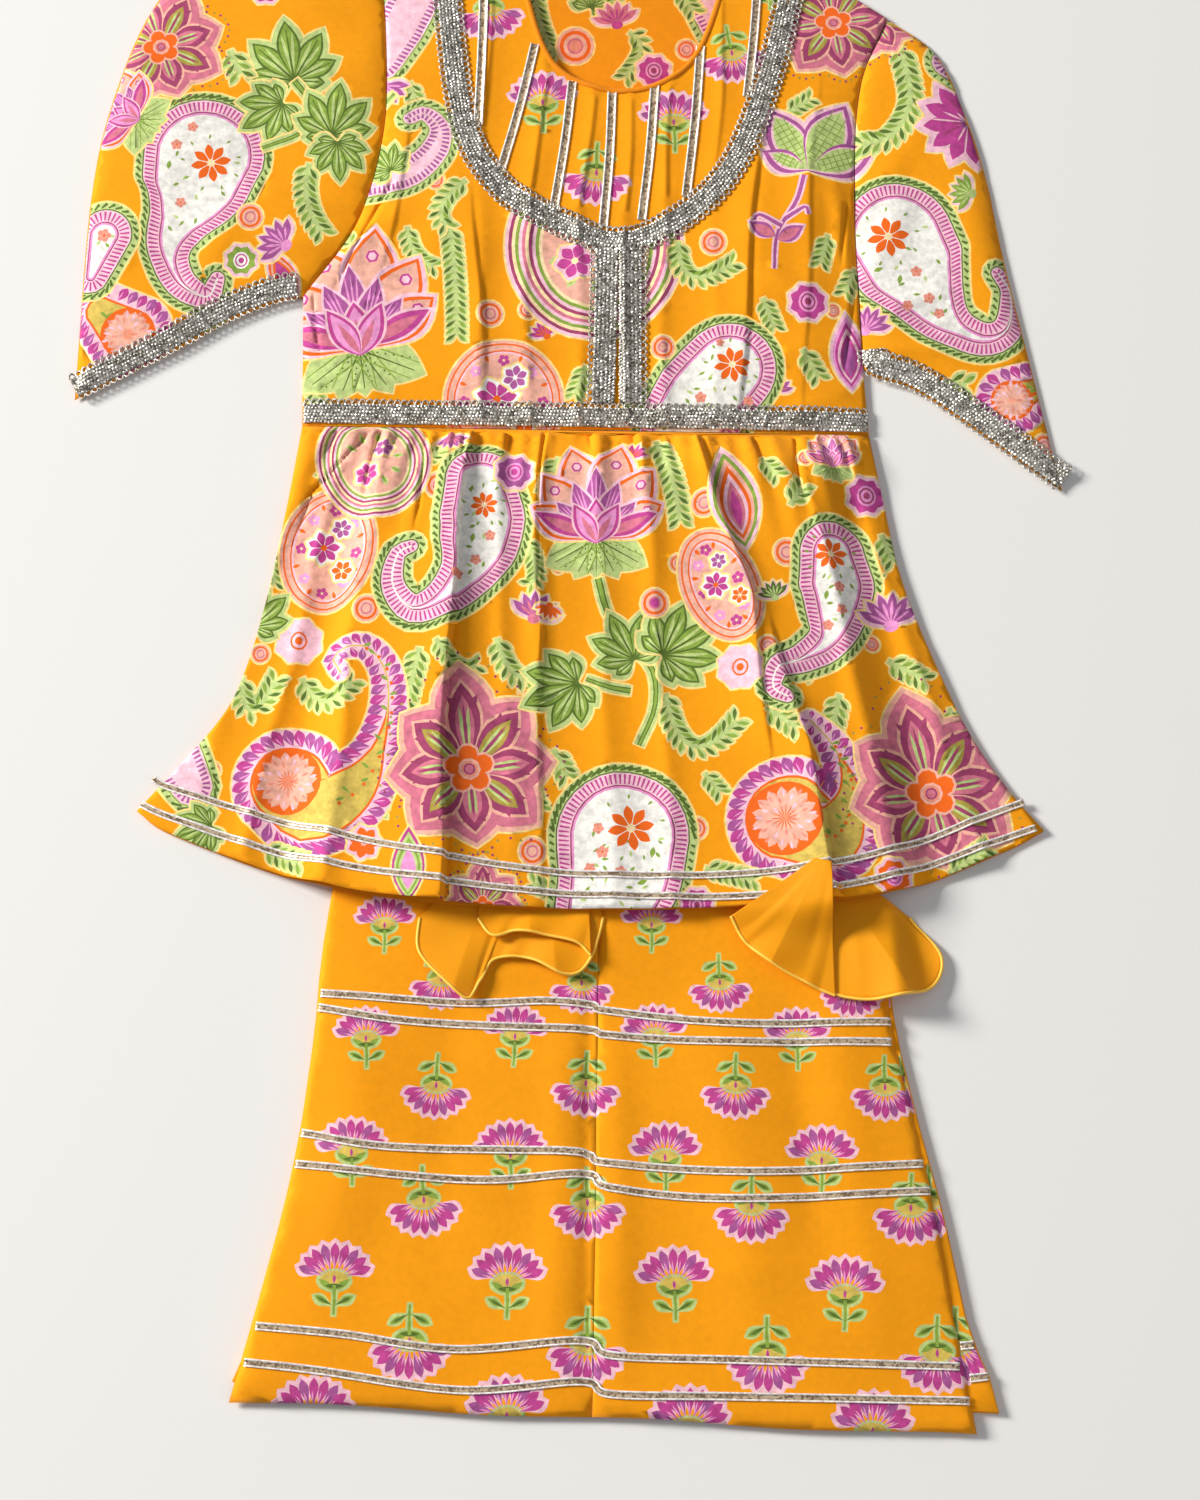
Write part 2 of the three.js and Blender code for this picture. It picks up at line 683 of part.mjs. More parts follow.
const TRIM_UNDERSIDE = FRONT_TOP + GAP;
const waistLaceLine = shifted(waist, 0, LACE_WIDTH / 2 + GAP);
strip("waist_lace", waistLaceLine, 24, LACE_WIDTH, TRIM_UNDERSIDE);
strip("yoke_lace", yokeSeam, 40, LACE_WIDTH, TRIM_UNDERSIDE);
for (const [name, x, flare] of [["placket_lace_left", PLACKET.left, PLACKET.flare],
  ["placket_lace_right", PLACKET.right, 0]]) {
  const line = straight({ x, y: PLACKET.top }, { x: x + flare, y: PLACKET.bottom });
  strip(name, line, 6, LACE_WIDTH, TRIM_UNDERSIDE);
}
for (const { name, topX, topY, endX, endY } of YOKE_RIBBONS) {
  strip(name, straight({ x: topX, y: topY }, { x: endX, y: endY }), 4, RIBBON_WIDTH, TRIM_UNDERSIDE);
}
const sleeveTrims = [
  { name: "sleeve_lace_left", line: beside(sleeveHemLeft, -LACE_WIDTH / 2) },
  { name: "sleeve_lace_right", line: beside(sleeveHemRight, LACE_WIDTH / 2) },
];
for (const { name, line } of sleeveTrims) {
  strip(name, (t) => line(0.06 + 0.9 * t), 12, LACE_WIDTH, TRIM_UNDERSIDE);
}

export default suit;
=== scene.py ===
"""A child's sharara suit laid out on a pale surface: kurta, sharara and dupatta.

Lengths are in millimetres as laid, x to the right and y towards the neck, until a mesh is made.
"""

import math
import random

import bmesh
import bpy
import numpy as np
from mathutils import Matrix, Vector
from mathutils.bvhtree import BVHTree
from mathutils.geometry import delaunay_2d_cdt
from mathutils.kdtree import KDTree


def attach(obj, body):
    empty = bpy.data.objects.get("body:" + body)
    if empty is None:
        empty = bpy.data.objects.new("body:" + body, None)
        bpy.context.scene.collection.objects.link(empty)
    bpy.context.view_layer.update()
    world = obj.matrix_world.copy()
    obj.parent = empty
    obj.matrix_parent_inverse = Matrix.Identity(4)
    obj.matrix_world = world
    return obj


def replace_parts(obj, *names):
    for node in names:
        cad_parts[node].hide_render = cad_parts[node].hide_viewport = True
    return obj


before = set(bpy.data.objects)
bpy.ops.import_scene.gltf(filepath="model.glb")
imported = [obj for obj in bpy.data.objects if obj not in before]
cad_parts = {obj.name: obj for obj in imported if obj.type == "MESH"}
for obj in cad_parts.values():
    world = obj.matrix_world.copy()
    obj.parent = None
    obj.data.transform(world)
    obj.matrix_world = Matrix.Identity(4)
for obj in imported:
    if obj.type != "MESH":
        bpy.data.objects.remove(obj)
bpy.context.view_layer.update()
random.seed(11)

# ------------------------------
# The view: a camera nearly square to the laid kurta, soft daylight from the upper left, and a
# plain pale floor.
MM = 0.001
LAY_SHIFT = (1.0, -23.5)
VIEW_ELEVATION = math.radians(75.0)
VIEW_DISTANCE = 1.75
VIEW_TARGET = (0.0159, -0.0641)
FRAME_WIDTH = 1200
FOCAL_PIXELS = 3535

scene = bpy.context.scene
scene.view_settings.view_transform = "Standard"

camera = bpy.data.objects.new("view", bpy.data.cameras.new("view"))
scene.collection.objects.link(camera)
camera.data.sensor_fit = "HORIZONTAL"
camera.data.sensor_width = 36
camera.data.lens = FOCAL_PIXELS / FRAME_WIDTH * camera.data.sensor_width
camera.location = (
    VIEW_TARGET[0],
    VIEW_TARGET[1] - VIEW_DISTANCE * math.cos(VIEW_ELEVATION),
    VIEW_DISTANCE * math.sin(VIEW_ELEVATION),
)
camera.rotation_euler = (math.pi / 2 - VIEW_ELEVATION, 0, 0)
scene.camera = camera


def soft_light(name, place, size, power, colour):
    light = bpy.data.objects.new(name, bpy.data.lights.new(name, "AREA"))
    scene.collection.objects.link(light)
    light.data.shape = "RECTANGLE"
    light.data.size, light.data.size_y = size
    light.data.energy = power
    light.data.color = colour
    light.location = place
    light.rotation_euler = (-Vector(place)).to_track_quat("-Z", "Y").to_euler()


soft_light("window", (-4.6, 1.75, 2.55), (1.5, 1.5), 520, (1.0, 0.98, 0.95))
soft_light("ceiling", (0.4, -0.2, 2.4), (2.4, 2.4), 7, (0.97, 0.98, 1.0))
soft_light("low_fill", (1.5, -1.1, 1.0), (1.2, 1.2), 4, (1.0, 1.0, 1.0))

scene.world = bpy.data.worlds.new("studio")
scene.world.use_nodes = True
scene.world.node_tree.nodes["Background"].inputs["Color"].default_value = (0.9, 0.93, 1.0, 1)
scene.world.node_tree.nodes["Background"].inputs["Strength"].default_value = 0.25


def linear(red, green, blue):
    """The linear colour of three 8-bit display values."""
    channels = [value / 255 for value in (red, green, blue)]
    return tuple(c / 12.92 if c <= 0.04045 else ((c + 0.055) / 1.055) ** 2.4 for c in channels)


def new_material(name, inputs):
    """A material, and its main shader with these plain inputs."""
    material = bpy.data.materials.new(name)
    material.use_nodes = True
    shader = material.node_tree.nodes["Principled BSDF"]
    for entry, value in inputs.items():
        shader.inputs[entry].default_value = value
    return material, shader


FLOOR_DROP = 0.0002
floor_mesh = bmesh.new()
bmesh.ops.create_grid(floor_mesh, x_segments=1, y_segments=1, size=4)
bmesh.ops.translate(floor_mesh, verts=floor_mesh.verts, vec=(0, 0, -FLOOR_DROP))
floor_data = bpy.data.meshes.new("floor")
floor_mesh.to_mesh(floor_data)
floor_mesh.free()
floor = bpy.data.objects.new("floor", floor_data)
scene.collection.objects.link(floor)
floor_paint, _ = new_material("floor_paint", {"Base Color": (*linear(226, 224, 220), 1), "Roughness": 0.7})
floor_data.materials.append(floor_paint)

# ------------------------------
# The sharara: wide cotton trousers folded along the rise, one leg on the other. The upper leg
# shows its side seam down the middle. The cloth is block printed with rows of small sprigs, and
# three pairs of silver ribbon are sewn round each leg.
SHARARA = [
    # y, left, seam, right, under leg's right
    (72, -86, 15, 116, 118),
    (-15, -102, 15, 134, 136),
    (-112, -116, 14, 151, 152),
    (-147, -121, 14, 154, 155),
    (-181, -123, 14, 156, 158),
    (-230, -129, 13, 167, 169),
    (-268, -136, 13, 175, 179),
    (-316, -147, 12, 183, 189),
    (-345, -154, 12, 188, 198),
    (-367, -160, 11, 192, 203),
]
SHARARA_LEFT, SHARARA_SEAM, SHARARA_RIGHT, SHARARA_UNDER = 1, 2, 3, 4
INKS = {
    "ground": (247, 158, 6),
    "white": (243, 240, 236),
    "cream": (250, 224, 176),
    "magenta": (192, 70, 148),
    "pink": (234, 152, 208),
    "pale_pink": (246, 196, 214),
    "salmon": (232, 146, 128),
    "blush": (240, 178, 160),
    "orange": (238, 104, 26),
    "leaf_pale": (190, 208, 134),
    "leaf": (138, 166, 70),
    "leaf_dark": (90, 114, 48),
    "violet": (170, 88, 154),
    "mauve": (212, 118, 142),
    "plum": (162, 68, 108),
    "moss": (216, 188, 92),
    "olive": (172, 154, 70),
    "resist": (255, 222, 140),
    "thread": (236, 140, 20),
}
INK_COLOURS = {ink: linear(*shade) for ink, shade in INKS.items()}


def smooth(points, count):
    """An even run of points on a smooth line through a few."""
    given = np.array(points, float)
    if len(given) == 2:
        return given[0] + np.linspace(0, 1, count)[:, None] * (given[1] - given[0])
    padded = np.vstack([2 * given[0] - given[1], given, 2 * given[-1] - given[-2]])
    t = np.linspace(0, len(given) - 1 - 1e-9, count * 6)
    i = t.astype(int)
    f = (t - i)[:, None]
    a, b, c, d = padded[i], padded[i + 1], padded[i + 2], padded[i + 3]
    line = 0.5 * (2 * b + (c - a) * f + (2 * a - 5 * b + 4 * c - d) * f ** 2
                  + (3 * b - a - 3 * c + d) * f ** 3)
    length = np.concatenate([[0], np.cumsum(np.hypot(*np.diff(line, axis=0).T))])
    even = np.linspace(0, length[-1], count)
    return np.stack([np.interp(even, length, line[:, k]) for k in (0, 1)], 1)


def normals_of(line):
    """Unit normals to the left of a line's direction."""
    along = np.gradient(line, axis=0)
    along /= np.maximum(np.hypot(*along.T), 1e-9)[:, None]
    return np.stack([-along[:, 1], along[:, 0]], 1)


def disc(x, y, wide, tall=None, count=14):
    angle = np.arange(count) * 2 * math.pi / count
    return np.stack([x + wide * np.cos(angle), y + (tall or wide) * np.sin(angle)], 1)


def counterclockwise(shape):
    """The same closed outline, running with its inside on the left."""
    x, y = shape.T
    return shape if x @ np.roll(y, -1) > y @ np.roll(x, -1) else shape[::-1]


def petal(x, y, turn, length, width, fullness=1.0, count=7):
    """A pointed leaf or petal from its foot; fullness over 1 puts its widest part past the middle."""
    t = np.linspace(0, 1, count + 2)[1:-1]
    half = width / 2 * np.sin(math.pi * t ** fullness)
    edge = np.stack([t * length, half], 1)
    shape = np.vstack([[0, 0], edge, [length, 0], edge[::-1] * (1, -1)])
    c, s = math.cos(math.radians(turn)), math.sin(math.radians(turn))
    return shape @ np.array([[c, s], [-s, c]]) + (x, y)


def stroke(points, start, end, count=12):
    """A drawn line whose width goes from start to end."""
    line = smooth(points, count)
    half = np.linspace(start, end, count)[:, None] / 2
    side = normals_of(line)
    return np.vstack([line + side * half, (line - side * half)[::-1]])


def comma(spine, radii, grow):
    """The outline of a paisley: circles of the radii along a spine, grown or shrunk alike."""
    line = smooth(spine, 34)
    reach = np.interp(np.linspace(0, 1, 34), np.linspace(0, 1, len(radii)), radii)
    reach = np.maximum(reach + grow, 0.4)[:, None]
    side = normals_of(line)
    ahead = np.stack([side[:, 1], -side[:, 0]], 1)
    cap = np.radians(np.linspace(90, 270, 15))[1:-1, None]
    tip = np.radians(np.linspace(-90, 90, 7))[1:-1, None]
    head = line[0] + reach[0] * (np.cos(cap) * ahead[0] + np.sin(cap) * side[0])
    point = line[-1] + reach[-1] * (np.cos(tip) * ahead[-1] + np.sin(tip) * side[-1])
    return np.vstack([head, line - side * reach, point, (line + side * reach)[::-1]])


RESIST_LINE = 1.0


class Stamp:
    """One block set down on the cloth: its place, turn in degrees, size, and whether mirrored."""

    def __init__(self, inked, x, y, turn=0.0, size=1.0, flip=False):
        self.inked = inked
        self.under = None
        c, s = math.cos(math.radians(turn)) * size, math.sin(math.radians(turn)) * size
        self.matrix = np.array([[c, s], [-s, c]])
        if flip:
            self.matrix = np.array([[-1, 0], [0, 1]]) @ self.matrix
        self.place = np.array([x, y], float)

    def placed(self, shape):
        return counterclockwise(np.asarray(shape) @ self.matrix + self.place)

    def ink(self, name, shape):
        self.inked.append((name, self.placed(shape)))
        self.under = None

    def edge(self, name, shape):
        """An outermost shape of a motif: a pale line is left round all of them by the resist."""
        if self.under is None:
            self.under = len(self.inked)
        spot = self.placed(shape)
        outward = -normals_of(np.vstack([spot[-1:], spot, spot[:1]]))[1:-1]
        self.inked.insert(self.under, ("resist", spot + outward * RESIST_LINE))
        self.under += 1
        self.inked.append((name, spot))


def sprig_flower(stamp):
    """The small repeat: a wide fan of blunt petals on a green cup, with a stem and two leaves."""
    fan = []
    for k in range(9):
        turn = math.radians(-76 + 19 * k)
        foot = (4.2 * math.sin(turn), 2.4 * math.cos(turn) - 1.8)
        tip = (16.6 * math.sin(turn), 14.2 * math.cos(turn) - 0.4)
        reach = math.hypot(tip[0] - foot[0], tip[1] - foot[1])
        fan.append((foot, math.degrees(math.atan2(tip[1] - foot[1], tip[0] - foot[0])), reach))
    for foot, turn, reach in fan:
        stamp.ink("pale_pink", petal(*foot, turn, reach + 2.0, 7.4, 1.9))
    for side in (-1, 1):
        stamp.ink("leaf_pale", petal(0, -14.6, 90 - 62 * side, 11.4, 5.6, 1.4))
    stamp.ink("leaf_pale", disc(0, -3.0, 8.2, 5.4, 16))
    stamp.ink("leaf_pale", stroke([(0, -6), (0.3, -11), (0, -19)], 3.4, 2.8, 5))
    for k, (foot, turn, reach) in enumerate(fan):
        stamp.ink("magenta" if k % 3 else "violet", petal(*foot, turn, reach, 4.1, 1.9))
        stamp.ink("pink", petal(*foot, turn + 4, reach * 0.6, 0.8, 1.4, 4))
    stamp.ink("moss", disc(0, -2.6, 6.4, 3.9, 14))
    stamp.ink("leaf", petal(-7.0, -2.4, -34, 8.8, 2.8, 0.9, 5))
    stamp.ink("leaf", petal(7.0, -2.4, 214, 8.8, 2.8, 0.9, 5))
    stamp.ink("leaf_dark", petal(-4.2, -5.4, 0, 8.4, 2.2, 1.0, 4))
    stamp.ink("magenta", petal(0, -4.4, 90, 4.0, 1.5, 1.2, 4))
    stamp.ink("leaf", stroke([(0, -5), (0.3, -11), (0, -18)], 1.5, 1.1, 5))
    for side in (-1, 1):
        turn = 90 - 62 * side
        stamp.ink("leaf", petal(0.4 * side, -14, turn, 9.4, 2.8, 1.5, 5))
        stamp.ink("leaf_dark", petal(0.4 * side, -14, turn, 8.2, 1.3, 1.5, 3))


def at_row(table, y, column):
    """A column of an outline table at a height, the table running downwards."""
    rows = np.array(table, float)
    return np.interp(-np.asarray(y, float), -rows[:, 0], rows[:, column])


def distance_inside(points, outline, closed=True):
    """How far each point lies from the nearest edge of an outline, or of an open line."""
    starts = np.asarray(outline)
    ends = np.roll(starts, -1, 0)
    count = len(starts) if closed else len(starts) - 1
    best = np.full(len(points), 1e9)
    for start, end in zip(starts[:count], ends):
        run = end - start
        t = np.clip(((points - start) @ run) / max(run @ run, 1e-9), 0, 1)
        best = np.minimum(best, np.hypot(*(points - start - t[:, None] * run).T))
    return best


def inside(points, outline):
    """Whether each point lies within an outline."""
    x, y = points.T
    result = np.zeros(len(points), bool)
    for (x1, y1), (x2, y2) in zip(outline, np.roll(outline, -1, 0)):
        if y1 != y2:
            crosses = (y1 > y) != (y2 > y)
            result ^= crosses & (x < x1 + (y - y1) / (y2 - y1) * (x2 - x1))
    return result


def creases(points, rows):
    """Soft ridges, or troughs where height is negative: x, y to x, y, half width and height."""
    lift = np.zeros(len(points))
    for x1, y1, x2, y2, width, height in rows:
        run = np.array([x2 - x1, y2 - y1], float)
        t = ((points - (x1, y1)) @ run) / (run @ run)
        away = np.abs((points - (x1, y1)) @ np.array([-run[1], run[0]])) / np.hypot(*run)
        fade = np.clip(t / 0.3, 0, 1) * np.clip((1 - t) / 0.3, 0, 1)
        lift += height * np.exp(-(away / width) ** 2) * fade * fade * (3 - 2 * fade)
    return lift


def ripple(points, seed, size, height):
    """A slight unevenness of cloth that has been handled, never lower than nothing."""
    draw = random.Random(seed)
    lift = np.zeros(len(points))
    for _ in range(6):
        turn = draw.uniform(0, math.pi)
        pitch = size * draw.uniform(0.6, 1.6)
        along = points @ np.array([math.cos(turn), math.sin(turn)])
        lift += np.sin(along * 2 * math.pi / pitch + draw.uniform(0, 6.3)) / 6
    return height * (0.5 + lift)


def laid(points, heights):
    """Points as laid, in millimetres, to metres in the part's frame."""
    shifted = np.asarray(points) + LAY_SHIFT
    return np.column_stack([shifted, heights]) * MM


def add_piece(name, vertices, faces, material, colours=None, smooth_faces=True):
    """A mesh piece of the suit; colours has one linear colour for each face."""
    mesh = bpy.data.meshes.new(name)
    mesh.from_pydata([tuple(v) for v in vertices], [], faces)
    mesh.materials.append(material)
    if colours is not None:
        layer = mesh.color_attributes.new("print", "FLOAT_COLOR", "CORNER")
        corners = np.repeat(np.asarray(colours), [len(face) for face in faces], axis=0)
        layer.data.foreach_set("color", np.column_stack([corners, np.ones(len(corners))]).ravel())
    if smooth_faces:
        mesh.shade_smooth()
    piece = bpy.data.objects.new(name, mesh)
    scene.collection.objects.link(piece)
    return piece


def straightened(lines, found):
    """The same drawn edges, without corners that lie on a straight run."""
    joined = {}
    for a, b in lines:
        joined.setdefault(a, set()).add(b)
        joined.setdefault(b, set()).add(a)
    for middle in list(joined):
        if len(joined[middle]) == 2:
            a, b = joined[middle]
            run, part = found[b] - found[a], found[middle] - found[a]
            if b not in joined[a] and abs(run.cross(part)) < 0.04 * run.length:
                joined[a].remove(middle)
                joined[b].remove(middle)
                joined[a].add(b)
                joined[b].add(a)
                del joined[middle]
    return [(a, b) for a, others in joined.items() for b in others if a < b]


def divide(outline, inked, spacing, extra=()):
    """An outline cut into triangles along the ink's visible edges: points, triangles and inks."""
    low, high = outline.min(0), outline.max(0)
    shapes = [(ink, s) for ink, s in inked if (s.max(0) > low).all() and (s.min(0) < high).all()]
    inks = ["ground"] + [ink for ink, _ in shapes]
    corners, faces = [], []
    for shape in [outline] + [shape for _, shape in shapes]:
        faces.append(list(range(len(corners), len(corners) + len(shape))))
        corners.extend(Vector(point) for point in shape)
    found, _, triangles, _, _, sources = delaunay_2d_cdt(corners, [], faces, 0, 1e-4, True)
    kept = [(tri, inks[max(src)]) for tri, src in zip(triangles, sources) if 0 in src]
    beside_edge = {}
    for tri, ink in kept:
        for a, b in zip(tri, tri[1:] + tri[:1]):
            beside_edge.setdefault((min(a, b), max(a, b)), set()).add((ink, tri[0], tri[1]))
    lines = []
    for edge, sides in beside_edge.items():
        if len(sides) == 1 or len({side[0] for side in sides}) == 2:
            lines.append(edge)
    lines = straightened(lines, found)
    used = sorted({index for line in lines for index in line})
    renumber = {old: new for new, old in enumerate(used)}

    across = np.arange(low[0], high[0], spacing)
    rows = np.arange(low[1], high[1], spacing * 0.866)
    grid = np.array([(x + (k % 2) * spacing / 2, y) for k, y in enumerate(rows) for x in across])
    if len(extra):
        near = KDTree(len(extra))
        for index, point in enumerate(extra):
            near.insert((*point, 0), index)
        near.balance()
        grid = np.array([point for point in grid if near.find((*point, 0))[2] > spacing * 0.45])
        grid = np.vstack([grid, extra])
    grid = grid[inside(grid, outline)]
    grid = grid[distance_inside(grid, outline) > spacing * 0.4]

    corners = [found[index] for index in used] + [Vector(point) for point in grid]
    edges = [(renumber[a], renumber[b]) for a, b in lines]
    cut, _, triangles, _, _, _ = delaunay_2d_cdt(corners, edges, [], 0, 1e-4, False)
    printed = BVHTree.FromPolygons([(*point, 0) for point in found], [tri for tri, _ in kept])
    faces, shades = [], []
    for tri in triangles:
        middle = (cut[tri[0]] + cut[tri[1]] + cut[tri[2]]) / 3
        hit = printed.ray_cast((*middle, 1), (0, 0, -1))[2]
        if hit is not None:
            faces.append(list(tri))
            shades.append(kept[hit][1])
    return np.array(cut), faces, shades


def weld(piece):
    """Joins the corners that fall in one place."""
    mesh = bmesh.new()
    mesh.from_mesh(piece.data)
    bmesh.ops.remove_doubles(mesh, verts=mesh.verts, dist=0.00002)
    mesh.to_mesh(piece.data)
    mesh.free()


def thicken(piece, thick, offset=-1):
    """Gives a sheet its thickness in millimetres, downwards unless the offset says otherwise."""
    body = piece.modifiers.new("cloth_thickness", "SOLIDIFY")
    body.thickness = thick * MM
    body.offset = offset


def cut_cloth(name, outline, inked, height, material, spacing=4.0, extra=()):
    """A panel cut from printed cloth, laid at height(points). Each face holds one ink."""
    outline = counterclockwise(np.asarray(outline, float))
    points, triangles, inks = divide(outline, inked, spacing, extra)
    colours = [INK_COLOURS[ink] for ink in inks]
    piece = add_piece(name, laid(points, height(points)), triangles, material, colours)
    thicken(piece, 0.6)
    return piece


def node(tree, kind, **settings):
    made = tree.nodes.new(kind)
    for name, value in settings.items():
        if name in made.inputs:
            made.inputs[name].default_value = value
        else:
            setattr(made, name, value)
    return made


def link(start, output, end, entry):
    start.id_data.links.new(start.outputs[output], end.inputs[entry])


def cotton(name, tint, seed):
    """Printed cotton cambric: ink soaked unevenly into a fine plain weave, matt and soft."""
    look = {"Roughness": 0.82, "Sheen Weight": 0.04, "Specular IOR Level": 0.16}
    material, shader = new_material(name, look)
    tree = material.node_tree
    printed = node(tree, "ShaderNodeAttribute", attribute_name="print")
    place = node(tree, "ShaderNodeTexCoord")
    blotch = node(tree, "ShaderNodeTexNoise", Scale=260.0, Detail=4.0, Roughness=0.65)
    drift = node(tree, "ShaderNodeTexNoise", Scale=14.0, Detail=2.0)
    offset = node(tree, "ShaderNodeMapping")
    offset.inputs["Location"].default_value = (seed, seed * 0.7, 0)
    link(place, "Object", offset, "Vector")
    link(offset, "Vector", blotch, "Vector")
    link(offset, "Vector", drift, "Vector")
    uneven = node(tree, "ShaderNodeMapRange", **{"From Min": 0.3, "From Max": 0.7})
    link(blotch, "Fac", uneven, "Value")
    channels = node(tree, "ShaderNodeSeparateColor")
    link(printed, "Color", channels, "Color")
    inked = node(tree, "ShaderNodeMath", operation="GREATER_THAN")
    inked.inputs[1].default_value = 0.015
    link(channels, "Blue", inked, 0)
    for limit, plain, printed_limit in (("To Min", 0.95, 0.76), ("To Max", 1.04, 1.2)):
        choice = node(tree, "ShaderNodeMath", operation="MULTIPLY_ADD")
        choice.inputs[1].default_value = printed_limit - plain
        choice.inputs[2].default_value = plain
        link(inked, "Value", choice, 0)
        link(choice, "Value", uneven, limit)
    wide = node(tree, "ShaderNodeMapRange", **{"To Min": 0.9, "To Max": 1.08})
    link(drift, "Fac", wide, "Value")
    strength = node(tree, "ShaderNodeMath", operation="MULTIPLY")
    link(uneven, "Result", strength, 0)
    link(wide, "Result", strength, 1)
    shade = node(tree, "ShaderNodeVectorMath", operation="SCALE")
    link(printed, "Color", shade, 0)
    link(strength, "Value", shade, "Scale")
    warm = node(tree, "ShaderNodeVectorMath", operation="MULTIPLY")
    warm.inputs[1].default_value = tint
    link(shade, "Vector", warm, 0)
    link(warm, "Vector", shader, "Base Color")
    warp = node(tree, "ShaderNodeTexWave", Scale=900.0, Distortion=0.6, bands_direction="X")
    weft = node(tree, "ShaderNodeTexWave", Scale=900.0, Distortion=0.6, bands_direction="Y")
    link(place, "Object", warp, "Vector")
    link(place, "Object", weft, "Vector")
    weave = node(tree, "ShaderNodeMath", operation="ADD")
    link(warp, "Fac", weave, 0)
    link(weft, "Fac", weave, 1)
    crumple = node(tree, "ShaderNodeTexNoise", Scale=60.0, Detail=4.0, Roughness=0.6)
    link(offset, "Vector", crumple, "Vector")
    relief = node(tree, "ShaderNodeMath", operation="MULTIPLY_ADD")
    relief.inputs[1].default_value = 5.0
    link(crumple, "Fac", relief, 0)
    link(weave, "Value", relief, 2)
    bump = node(tree, "ShaderNodeBump", Strength=0.35, Distance=0.00025)
    link(relief, "Value", bump, "Height")
    link(bump, "Normal", shader, "Normal")
    return material


def own(piece, slot, *nodes):
    """A finished piece: it rides with the suit and stands for the solids it replaces."""
    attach(piece, "root")
    if nodes:
        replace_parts(piece, *nodes)
    return piece


sprig_cotton = cotton("sprig_cotton", (1.0, 0.98, 0.9), 1.3)

# Rows of sprigs that stand and hang in turn.
SPRIG_ROWS = [
    # y at the leg's left and right, size, the places across, whether they stand
    (-128, -131, 0.86, (-90, 40), True),
    (-158, -163, 0.88, (-62, 6, 73, 137), False),
    (-183, -186, 0.92, (-98, -26, 41, 110), True),
    (-210, -211, 0.96, (-64, 8, 80, 152), False),
    (-239, -244, 1.0, (-104, -28, 46, 121), True),
    (-268, -270, 1.03, (-69, 9, 87, 163), False),
    (-300, -306, 1.07, (-111, -29, 50, 131), True),
    (-334, -340, 1.1, (-75, 9, 94, 174), False),
    (-362, -370, 1.12, (-120, -29, 57, 143), True),
]
leg_print = []
for left_y, right_y, size, columns, standing in SPRIG_ROWS:
    for x in columns:
        y = left_y + (right_y - left_y) * (x + 130) / 300
        y += random.uniform(-1.5, 1.5)
        sprig_flower(Stamp(leg_print, x, y, (0 if standing else 180) + random.uniform(-3, 3), size))
for row in range(6):
    for column in range(4):
        x = -72 + column * 62 + (row % 2) * 31
        y = -103 + row * 30
        sprig_flower(Stamp(leg_print, x, y, 180 * (row % 2), 0.85))

LEG_CREASES = [
    # x, y, x, y, half width, height
    (10, -130, 8, -372, 3.0, -1.6),
    (22, -165, 26, -375, 8.0, 1.3),
    (-2, -160, -8, -372, 9.0, 1.2),
    (-95, -130, -118, -350, 16, 1.4),
    (-55, -120, -62, -330, 12, -0.8),
    (70, -125, 92, -372, 18, 1.6),
    (125, -130, 150, -370, 12, 1.2),
    (105, -150, 118, -300, 8, -0.9),
    (-130, -250, 60, -262, 7, 0.7),
    (-20, -300, 180, -296, 9, 0.7),
    (-100, -200, 40, -196, 10, 0.6),
    (40, -215, 160, -222, 8, 0.6),
]


def hem_drop(points):
    t = np.clip((points[:, 0] + 160) / 352, 0, 1)
    return 8 - 16 * t


def leg_side(column, shift):
    y = np.linspace(SHARARA[0][0], SHARARA[-1][0], 26)
    return np.column_stack([at_row(SHARARA, y, column) + shift, y])


def leg_outline(left, right, left_shift=0.0, right_shift=0.0):
    """A panel of the leg between two columns of the table, its hem sloping as it lies."""
    a = leg_side(left, left_shift)
    b = leg_side(right, right_shift)
    hem = np.linspace(a[-1], b[-1], 24)
    outline = np.vstack([a[:-1], hem, b[::-1][1:]])
    low = np.clip((-outline[:, 1] - 230) / 137, 0, 1)
    outline[:, 1] += hem_drop(outline) * low * low * (3 - 2 * low)
    hem_wave = np.sin(outline[:, 0] / 23.0) * 0.9
    outline[:, 1] += hem_wave * (outline[:, 1] < -355)
    return outline


upper_leg = leg_outline(SHARARA_LEFT, SHARARA_RIGHT)
LEG_REST, LEG_RIM = 4.4, 2.9


def leg_height(points):
    """The upper leg lies on its inner layers, a little full, with the seam drawn in."""
    edge = distance_inside(points, upper_leg)
    seam = at_row(SHARARA, points[:, 1], SHARARA_SEAM)
    full = 1.9 * (1 - np.exp(-edge / 13))
    drawn = -0.4 * np.exp(-((points[:, 0] - seam) / 2.4) ** 2)
    height = LEG_REST + full + drawn + creases(points, LEG_CREASES) + ripple(points, 3, 60, 0.9)
    rim = np.clip(edge / 2.5, 0, 1)
    return LEG_RIM + (height - LEG_RIM) * np.sqrt(1 - (1 - rim) ** 2) ** 0.7


front_leg = cut_cloth("upper_leg_front_panel", leg_outline(SHARARA_LEFT, SHARARA_SEAM, 0, -0.05),
                      leg_print, leg_height, sprig_cotton)
back_leg = cut_cloth("upper_leg_back_panel", leg_outline(SHARARA_SEAM, SHARARA_RIGHT, 0.05, 0),
                     leg_print, leg_height, sprig_cotton)
own(front_leg, "sprig_print", "leg_upper_front")
own(back_leg, "sprig_print", "leg_upper_back")

